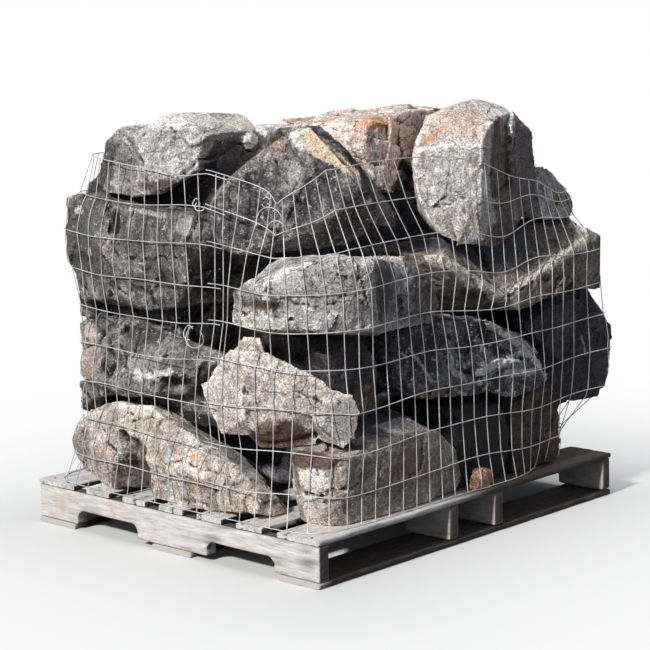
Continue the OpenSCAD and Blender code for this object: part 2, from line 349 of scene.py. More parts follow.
def wander(points: np.ndarray, size: float, seed: int) -> np.ndarray:
    """A smooth random value from about -1 to 1 at each point.

    Args:
        points: The points.
        size: Distance over which the value changes, in metres.
        seed: Picks the pattern.

    Returns:
        One value for each point.
    """
    rng = np.random.default_rng(seed)
    waves = rng.normal(size=(3, 14)) * (math.pi / size)
    return np.sin(points @ waves + rng.uniform(0, math.tau, 14)).sum(axis=1) / 3.8


# ---- the stones ----


@dataclass(frozen=True)
class Stone:
    """Weathered fieldstone, split along its beds and cracks and then left outdoors.

    Splitting leaves a rough, matt face of mixed grains. Weather gives it a darker skin, pale
    crusts of lichen, soil and painted shade in its hollows and bare, lighter stone on its edges.
    """

    tones: tuple[str, str, str]
    speckle: float = 0.65
    mottle: float = 0.42
    lichen: float = 0.3
    lichen_tone: str = "#D9D6D0"
    # Colour of soil in pits and cracks, and of the painted shade in the hollows.
    soil_and_shade: str = "#2C221C"
    pits: float = 0.4
    streaks: float = 0.0
    streak_way: Point = (0.0, 0.0, 1.0)
    grain_mm: float = 5.0
    patch_mm: float = 70.0
    flake_mm: float = 150.0
    bump: float = 0.8

    def material(self, name: str) -> Material:
        """Builds the stone's material.

        Args:
            name: The material's name.

        Returns:
            The material.
        """
        material, tree, place = blank(name)
        way = Vector(self.streak_way).normalized()
        along = add(tree, "ShaderNodeVectorMath", {0: place, 1: way}, operation="DOT_PRODUCT")
        back = add(
            tree, "ShaderNodeVectorMath", {0: way, "Scale": along.outputs["Value"]}, operation="SCALE"
        )
        squeezed = add(
            tree, "ShaderNodeVectorMath", {0: back, 1: (-0.9, -0.9, -0.9), 2: place},
            operation="MULTIPLY_ADD",
        )
        patterns: dict[str, Node] = {}
        for key, spot, size_mm, detail in (
            ("skin", place, self.patch_mm, 8.0), ("grain", place, self.grain_mm, 3.0),
            ("mottle", place, 4 * self.grain_mm, 4.0), ("streak", squeezed, 6.0, 3.0),
            ("ragged", place, 22.0, 6.0), ("blots", place, 15.0, 10.0), ("holes", place, 9.0, 4.0),
            ("bend", place, 60.0, 5.0),
        ):
            patterns[key] = add(
                tree, "ShaderNodeTexNoise",
                {"Vector": spot, "Scale": 1 / (size_mm * MM), "Detail": detail, "Roughness": 0.7},
            )
        skin, grain, mottle = patterns["skin"], patterns["grain"], patterns["mottle"]
        colour = three_tones(tree, skin, self.tones, (0.36, 0.5, 0.64))
        for key, amount in (("grain", self.speckle), ("mottle", self.mottle), ("streak", self.streaks)):
            shade = add(
                tree,
                "ShaderNodeMapRange",
                {"Value": patterns[key], "From Min": 0.3, "From Max": 0.7, "To Min": 1 - amount,
                 "To Max": 1 + amount},
                clamp=False,
            )
            colour = add(
                tree, "ShaderNodeVectorMath", {0: colour, 1: shade}, operation="MULTIPLY"
            ).outputs["Vector"]
        cracks = self._cracks(tree, place, patterns["bend"])
        stained = self._stain(tree, patterns["ragged"], grain)
        # Soil and painted shade, darker the deeper a place lies below a smoothed copy of the stone.
        hollow = add(tree, "ShaderNodeAttribute", attribute_name="hollow")
        lichen, pit = 0.72 - 0.24 * self.lichen, 0.30 + 0.16 * self.pits
        layers = (
            (stained[0], 0.95, 0.4, 0.92, stained[1]),
            (patterns["blots"], lichen, 0.05, 0.9, linear(self.lichen_tone)),
            (patterns["holes"], pit, -0.07, 0.8, linear(self.soil_and_shade)),
            (cracks, 0.0, 1.0, 0.85, linear(self.soil_and_shade)),
            # Soil and painted shade in the hollows.
            (hollow.outputs["Fac"], 0.2, 0.8, 0.9, linear(self.soil_and_shade)),
        )
        colour = lay_over(tree, colour, layers)
        # Lightens what stands proud as bare, worn stone, and darkens what lies low as painted shade.
        worn = add(tree, "ShaderNodeAttribute", attribute_name="worn")
        wear_and_hollow_shade = add(
            tree, "ShaderNodeMapRange", {"Value": worn.outputs["Fac"], "To Min": 0.5, "To Max": 1.45}
        )
        colour = add(tree, "ShaderNodeVectorMath", {0: colour, 1: wear_and_hollow_shade}, operation="MULTIPLY")
        rough = add(tree, "ShaderNodeMath", {0: grain, 1: 0.6, 2: skin}, operation="MULTIPLY_ADD")
        uneven = add(tree, "ShaderNodeMath", {0: mottle, 1: 1.2, 2: rough}, operation="MULTIPLY_ADD")
        height = add(tree, "ShaderNodeMath", {0: cracks, 1: -0.5, 2: uneven}, operation="MULTIPLY_ADD")
        bump = add(tree, "ShaderNodeBump", {"Strength": self.bump, "Distance": 6 * MM, "Height": height})
        shader = add(
            tree,
            "ShaderNodeBsdfPrincipled",
            {"Base Color": colour, "Roughness": 0.88, "IOR": 1.5, "Specular IOR Level": 0.3,
             "Normal": bump},
        )
        add(tree, "ShaderNodeOutputMaterial", {"Surface": shader})
        return material

    def _cracks(self, tree: NodeTree, place: NodeSocket, bend: Node) -> Node:
        """Fine cracks between flakes, about four millimetres wide.

        Args:
            tree: The material's tree.
            place: Places on the stone.
            bend: A noise that makes the cracks wander.

        Returns:
            The node that is 1 in a crack and 0 away from it.
        """
        shift = add(
            tree, "ShaderNodeVectorMath", {0: bend.outputs["Color"], 1: (0.05, 0.05, 0.05), 2: place},
            operation="MULTIPLY_ADD",
        )
        flakes = 1 / (self.flake_mm * MM)
        rim = add(
            tree, "ShaderNodeTexVoronoi", {"Vector": shift, "Scale": flakes}, feature="DISTANCE_TO_EDGE"
        )
        line = add(
            tree, "ShaderNodeMapRange",
            {"Value": rim, "From Min": 0.0, "From Max": 2.2 * MM * flakes, "To Min": 1.0, "To Max": 0.0},
        )
        some = add(tree, "ShaderNodeMapRange", {"Value": bend, "From Min": 0.44, "From Max": 0.56})
        return add(tree, "ShaderNodeMath", {0: line, 1: some}, operation="MULTIPLY")

    def _stain(self, tree: NodeTree, ragged: Node, grain: Node) -> tuple[Node, Node]:
        """Patches of other colours, from the stone's own stain attribute with a ragged rim.

        Args:
            tree: The material's tree.
            ragged: A noise that makes the rim ragged.
            grain: A noise that speckles the patch.

        Returns:
            The node that says how much of a place is stained, and the one that gives its colour.
        """
        stain = add(tree, "ShaderNodeAttribute", attribute_name="stain")
        spread = add(
            tree, "ShaderNodeMath", {0: ragged, 1: 1.2, 2: stain.outputs["Alpha"]},
            operation="MULTIPLY_ADD",
        )
        shade = add(
            tree,
            "ShaderNodeMapRange",
            {"Value": grain, "From Min": 0.3, "From Max": 0.7, "To Min": 1 - self.speckle,
             "To Max": 1 + self.speckle},
        )
        tint = add(
            tree, "ShaderNodeVectorMath", {0: stain.outputs["Color"], 1: shade}, operation="MULTIPLY"
        )
        return spread, tint


@dataclass(frozen=True)
class Relief:
    """How rough a boulder's faces are, in millimetres of height."""

    swell: float = 4.5
    facet: float = 10.0
    ridge: float = 2.0
    grain: float = 2.5
    crack: float = 2.2
    ledge: float = 0.0
    ledge_step: float = 45.0
    ledge_way: Point = (0.0, 0.0, 1.0)


class ReliefTree:
    """Geometry nodes that roughen a block of stone along its own normals."""

    SIZES = {
        "Swell": 8.0, "Facet": 14.0, "Ridge": 4.0, "Grain": 2.5, "Crack": 7.0, "Ledge": 0.0,
        "Ledge step": 45.0, "Seed": 0.0,
    }

    def __init__(self) -> None:
        """Builds the tree."""
        self.tree = open_group("stone relief")
        sockets = self.tree.interface
        self.ids: dict[str, str] = {}
        for name, value in self.SIZES.items():
            socket = sockets.new_socket(name, in_out="INPUT", socket_type="NodeSocketFloat")
            socket.default_value = value
            self.ids[name] = socket.identifier
        way = sockets.new_socket("Ledge way", in_out="INPUT", socket_type="NodeSocketVector")
        way.default_value = (0.0, 0.0, 1.0)
        stone = sockets.new_socket("Stone", in_out="INPUT", socket_type="NodeSocketMaterial")
        self.ids["Ledge way"], self.ids["Stone"] = way.identifier, stone.identifier
        self._grow()

    def _grow(self) -> None:
        """Adds the nodes: each kind of relief makes a height, and their sum moves the surface."""
        tree = self.tree
        given = add(tree, "NodeGroupInput").outputs
        place = add(tree, "GeometryNodeInputPosition")
        seed = given["Seed"]
        bend = add(
            tree, "ShaderNodeTexNoise", {"Vector": place, "W": seed, "Scale": 14.0, "Detail": 2.0},
            noise_dimensions="4D",
        )
        shift = add(
            tree, "ShaderNodeVectorMath", {0: bend.outputs["Color"], 1: (0.05, 0.05, 0.05), 2: place},
            operation="MULTIPLY_ADD",
        )
        heights = [
            self._rolling(place, seed, 5.5, "FBM", given["Swell"]),
            self._facets(shift, seed, 9.0, given["Facet"], 0.08),
            self._facets(shift, seed, 24.0, given["Facet"], 0.08),
            self._rolling(place, seed, 17.0, "RIDGED_MULTIFRACTAL", given["Ridge"]),
            self._rolling(place, seed, 75.0, "FBM", given["Grain"]),
            self._cracks(shift, seed, given["Crack"]), self._ledges(shift, given),
        ]
        total = heights[0]
        for height in heights[1:]:
            total = add(tree, "ShaderNodeMath", {0: total, 1: height}, operation="ADD")
        metres = add(tree, "ShaderNodeMath", {0: total, 1: MM}, operation="MULTIPLY")
        offset = add(
            tree, "ShaderNodeVectorMath", {0: add(tree, "GeometryNodeInputNormal"), "Scale": metres},
            operation="SCALE",
        )
        moved = add(tree, "GeometryNodeSetPosition", {"Geometry": given["Geometry"], "Offset": offset})
        close_group(tree, moved, given["Stone"])

    def _rolling(
        self, place: Node, seed: NodeSocket, scale: float, kind: str, height: NodeSocket,
    ) -> Node:
        """Height that rolls up and down around zero.

        Args:
            place: Where the noise is read.
            seed: Picks the pattern.
            scale: Features a metre.
            kind: The type of noise that it follows.
            height: The socket that gives its height in millimetres.

        Returns:
            The node that gives the height.
        """
        noise = add(
            self.tree, "ShaderNodeTexNoise",
            {"Vector": place, "W": seed, "Scale": scale, "Detail": 4.0, "Roughness": 0.55},
            noise_dimensions="4D", noise_type=kind, normalize=True,
        )
        centred = add(self.tree, "ShaderNodeMath", {0: noise, 1: 2.0, 2: -1.0}, operation="MULTIPLY_ADD")
        return add(self.tree, "ShaderNodeMath", {0: centred, 1: height}, operation="MULTIPLY")

    def _facets(
        self, place: Node, seed: NodeSocket, scale: float, height: NodeSocket, reach: float,
    ) -> Node:
        """Height of flat facets, each tilted its own way.

        Args:
            place: Where the facets are read.
            seed: Picks the pattern.
            scale: Facets a metre.
            height: The socket that gives their height in millimetres.
            reach: How far a facet's middle may be from its rim, in metres.

        Returns:
            The node that gives the height.
        """
        cells = add(
            self.tree, "ShaderNodeTexVoronoi", {"Vector": place, "W": seed, "Scale": scale},
            voronoi_dimensions="4D",
        )
        tilt = add(
            self.tree, "ShaderNodeVectorMath", {0: cells.outputs["Color"], 1: (0.5, 0.5, 0.5)},
            operation="SUBTRACT",
        )
        away = add(
            self.tree, "ShaderNodeVectorMath", {0: place, 1: cells.outputs["Position"]},
            operation="SUBTRACT",
        )
        slope = add(
            self.tree, "ShaderNodeVectorMath", {0: away, 1: tilt.outputs["Vector"]},
            operation="DOT_PRODUCT",
        )
        share = add(
            self.tree, "ShaderNodeMath", {0: slope.outputs["Value"], 1: 1 / reach}, operation="MULTIPLY",
        )
        return add(self.tree, "ShaderNodeMath", {0: share, 1: height}, operation="MULTIPLY")

    def _cracks(self, place: Node, seed: NodeSocket, height: NodeSocket) -> Node:
        """Height of a few cracks, which run where large flakes part.

        Args:
            place: Where the cracks are read.
            seed: Picks the pattern.
            height: The socket that gives their depth in millimetres.

        Returns:
            The node that gives the height, zero or below.
        """
        rim = add(
            self.tree, "ShaderNodeTexVoronoi", {"Vector": place, "W": seed, "Scale": 7.0},
            voronoi_dimensions="4D", feature="DISTANCE_TO_EDGE",
        )
        line = add(
            self.tree, "ShaderNodeMapRange",
            {"Value": rim, "From Min": 0.0, "From Max": 0.05, "To Min": -1.0, "To Max": 0.0},
        )
        where = add(
            self.tree, "ShaderNodeTexNoise", {"Vector": place, "W": seed, "Scale": 8.0, "Detail": 1.0},
            noise_dimensions="4D",
        )
        some = add(self.tree, "ShaderNodeMapRange", {"Value": where, "From Min": 0.48, "From Max": 0.6})
        part = add(self.tree, "ShaderNodeMath", {0: line, 1: some}, operation="MULTIPLY")
        return add(self.tree, "ShaderNodeMath", {0: part, 1: height}, operation="MULTIPLY")

    def _ledges(self, place: Node, given: NodeOutputs) -> Node:
        """Height of the beds of a layered stone, which break off in steps.

        Args:
            place: Where the beds are read.
            given: The tree's inputs.

        Returns:
            The node that gives the height.
        """
        tree = self.tree
        along = add(
            tree, "ShaderNodeVectorMath", {0: place, 1: given["Ledge way"]}, operation="DOT_PRODUCT",
        )
        step = add(tree, "ShaderNodeMath", {0: given["Ledge step"], 1: MM}, operation="MULTIPLY")
        bed = add(tree, "ShaderNodeMath", {0: along.outputs["Value"], 1: step}, operation="DIVIDE")
        part = add(tree, "ShaderNodeMath", {0: bed}, operation="FRACT")
        slope = add(
            tree, "ShaderNodeMapRange",
            {"Value": part, "From Min": 0.0, "From Max": 0.85, "To Min": -1.0, "To Max": 1.0},
        )
        return add(tree, "ShaderNodeMath", {0: slope, 1: given["Ledge"]}, operation="MULTIPLY")

    def apply_to(self, piece: Object, relief: Relief, seed: int, stone: Material) -> None:
        """Gives a piece this relief as plain mesh.

        Args:
            piece: The piece.
            relief: Its heights.
            seed: Picks its pattern.
            stone: Its material.
        """
        roughen = piece.modifiers.new("relief", "NODES")
        roughen.node_group = self.tree
        sizes = {
            "Swell": relief.swell, "Facet": relief.facet, "Ridge": relief.ridge, "Grain": relief.grain,
            "Crack": relief.crack, "Ledge": relief.ledge, "Ledge step": relief.ledge_step,
            "Seed": float(seed), "Ledge way": relief.ledge_way, "Stone": stone,
        }
        for name, value in sizes.items():
            roughen[self.ids[name]] = value
        settle(piece)


@dataclass(frozen=True)
class Box:
    """The box around a boulder: its lowest corner and its sizes, in metres."""

    low: np.ndarray
    side: np.ndarray

    @classmethod
    def around(cls, node: str) -> Box:
        """Finds the box of one of the model's nodes."""
        low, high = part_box(node)
        return cls(np.array(low), np.array(high - low))

    def spot(self, share: Point) -> np.ndarray:
        """Finds the place at a share of the box each way."""
        return self.low + self.side * np.array(share)

    def on_skin(self, points: np.ndarray, path: Sequence[Point]) -> list[np.ndarray]:
        """Finds the points of a boulder that lie nearest to places given as shares of the box."""
        wanted = [self.spot(share) for share in path]
        return [points[np.argmin(((points - place) ** 2).sum(axis=1))] for place in wanted]


def gap_to(points: np.ndarray, route: Sequence[np.ndarray]) -> np.ndarray:
    """Measures how far each point is from a line through the places of a route.

    Args:
        points: The points.
        route: The places.

    Returns:
        One distance for each point.
    """
    away = np.full(len(points), np.inf)
    for start, end in zip(route, route[1:]):
        along = end - start
        share = np.clip((points - start) @ along / (along @ along), 0, 1)
        away = np.minimum(away, np.linalg.norm(points - start - share[:, None] * along, axis=1))
    return away


@dataclass(frozen=True)
class Block:
    """A rough block that broke out of a boulder, or one that stands proud of it.

    Its place is a share of the boulder's box each way, its size is in millimetres, and its
    turn is in degrees about X, Y and Z.
    """

    at: Point
    size: Point
    turn: Point = (0.0, 0.0, 0.0)
    proud: bool = False
    uneven: float = 0.12

    def mesh(self, box: Box) -> Mesh:
        """Makes the block, each corner moved in by up to its uneven share of the size.

        Args:
            box: The boulder's box.

        Returns:
            The block's mesh.
        """
        rng = np.random.default_rng(int(sum(self.size) + 1000 * sum(self.at)))
        solid = bmesh.new()
        bmesh.ops.create_cube(solid, size=1.0)
        size, rotation = Vector(self.size) * MM, Euler([math.radians(a) for a in self.turn])
        middle = Vector(box.spot(self.at))
        for corner in solid.verts:
            part = Vector(c * (1 - rng.uniform(0, self.uneven)) for c in corner.co)
            corner.co = middle + rotation.to_matrix() @ Vector(p * s for p, s in zip(part, size))
        if self.proud:
            bmesh.ops.bevel(
                solid, geom=solid.edges[:], offset=0.22 * min(size), segments=2, affect="EDGES"
            )
        return as_mesh(solid, "block")


@dataclass(frozen=True)
class Chunk:
    """A lump with flat faces between its corners, which a boulder gains or loses.

    Its corners are shares of the boulder's box each way.
    """

    corners: tuple[Point, ...]
    proud: bool = True

    def mesh(self, box: Box) -> Mesh:
        """Makes the lump.

        Args:
            box: The boulder's box.

        Returns:
            The lump's mesh.
        """
        solid = bmesh.new()
        for corner in self.corners:
            solid.verts.new(box.spot(corner))
        hull = bmesh.ops.convex_hull(solid, input=solid.verts)
        inside = {*hull["geom_interior"], *hull["geom_unused"]}
        bmesh.ops.delete(
            solid, geom=[v for v in inside if isinstance(v, bmesh.types.BMVert)], context="VERTS"
        )
        bmesh.ops.recalc_face_normals(solid, faces=solid.faces)
        return as_mesh(solid, "chunk")


@dataclass(frozen=True)
class Slice:
    """A flat face that a boulder split along: all that lies beyond it is gone.

    Its place is a share of the boulder's box each way, and way points out of the stone.
    """

    at: Point
    way: Point


@dataclass(frozen=True)
class Dent:
    """A hollow in a boulder, or a lump where its depth is below zero.

    Its place is a share of the boulder's box each way. Sizes are in millimetres.
    """

    at: Point
    size: Point
    depth: float
    way: Point | None = None

    def apply(self, points: np.ndarray, normals: np.ndarray, box: Box) -> None:
        """Moves the points that lie in the dent.

        Args:
            points: The boulder's points, which this changes.
            normals: Their normals.
            box: The boulder's box.
        """
        middle = box.on_skin(points, [self.at])[0]
        away = np.linalg.norm((points - middle) / (np.array(self.size) * MM), axis=1)
        away = away + 0.16 * wander(points, 0.05, 5)
        amount = ease(1 - away)
        way = -(normals * amount[:, None]).sum(axis=0) if self.way is None else np.array(self.way)
        way = way / np.linalg.norm(way)
        points += amount[:, None] * way * self.depth * MM


@dataclass(frozen=True)
class Cleft:
    """A crack along a line of places in a boulder's box. Its sizes are in millimetres."""

    path: tuple[Point, ...]
    width: float = 14.0
    depth: float = 16.0

    def apply(self, points: np.ndarray, normals: np.ndarray, box: Box) -> None:
        """Moves the points near the crack inwards.

        Args:
            points: The boulder's points, which this changes.
            normals: Their normals.
            box: The boulder's box.
        """
        route = box.on_skin(points, self.path)
        bent = points + 0.006 * np.stack([wander(points, 0.04, 11 + i) for i in range(3)], axis=1)
        amount = np.clip(1 - gap_to(bent, route) / (self.width * MM), 0, 1)
        points -= amount[:, None] * normals * self.depth * MM


@dataclass(frozen=True)
class Stain:
    """A patch of another colour on a boulder, around a place in its box."""

    at: Point
    size: Point
    colour: str
    strength: float = 1.0

    def amount(self, points: np.ndarray, box: Box) -> np.ndarray:
        """How strong the patch is at each point of a boulder in this box."""
        off = (points - box.on_skin(points, [self.at])[0]) / (np.array(self.size) * MM)
        return np.clip(self.strength * (1.25 - np.linalg.norm(off, axis=1)), 0, 1)


@dataclass(frozen=True)
class Vein:
    """A band of another colour on a boulder, along a line of places in its box."""

    path: tuple[Point, ...]
    width: float
    colour: str
    strength: float = 1.0

    def amount(self, points: np.ndarray, box: Box) -> np.ndarray:
        """How strong the band is at each point of a boulder in this box."""
        route = box.on_skin(points, self.path)
        return np.clip(self.strength * (1.25 - gap_to(points, route) / (self.width * MM)), 0, 1)


@dataclass(frozen=True)
class Look:
    """How one boulder looks: its stone, its relief, and what sets it apart."""

    stone: Stone
    slot: Slot
    relief: Relief = Relief()
    cuts: tuple[Slice | Block | Chunk, ...] = ()
    strokes: tuple[Dent | Cleft, ...] = ()
    cracks: tuple[Cleft, ...] = ()
    stains: tuple[Stain | Vein, ...] = ()
    voxel: float = 5.0
    chips: int = 22
    chip_depth: float = 13.0


# ---- finishes of the boulders ----

TAN = Stone(("#84756B", "#AD9D92", "#D3C6B9"), lichen=0.3)
GREY = Stone(("#6A6361", "#908885", "#B9B1AC"), lichen=0.45)
DARK = Stone(("#37343A", "#57535A", "#827D82"), lichen=0.3)


def rubble(x: tuple[float, float], y: tuple[float, float], z: tuple[float, float]) -> Chunk:
    """Small stone packed behind a boulder, between these shares of its box each way."""
    return Chunk(tuple(product(x, y, z)))


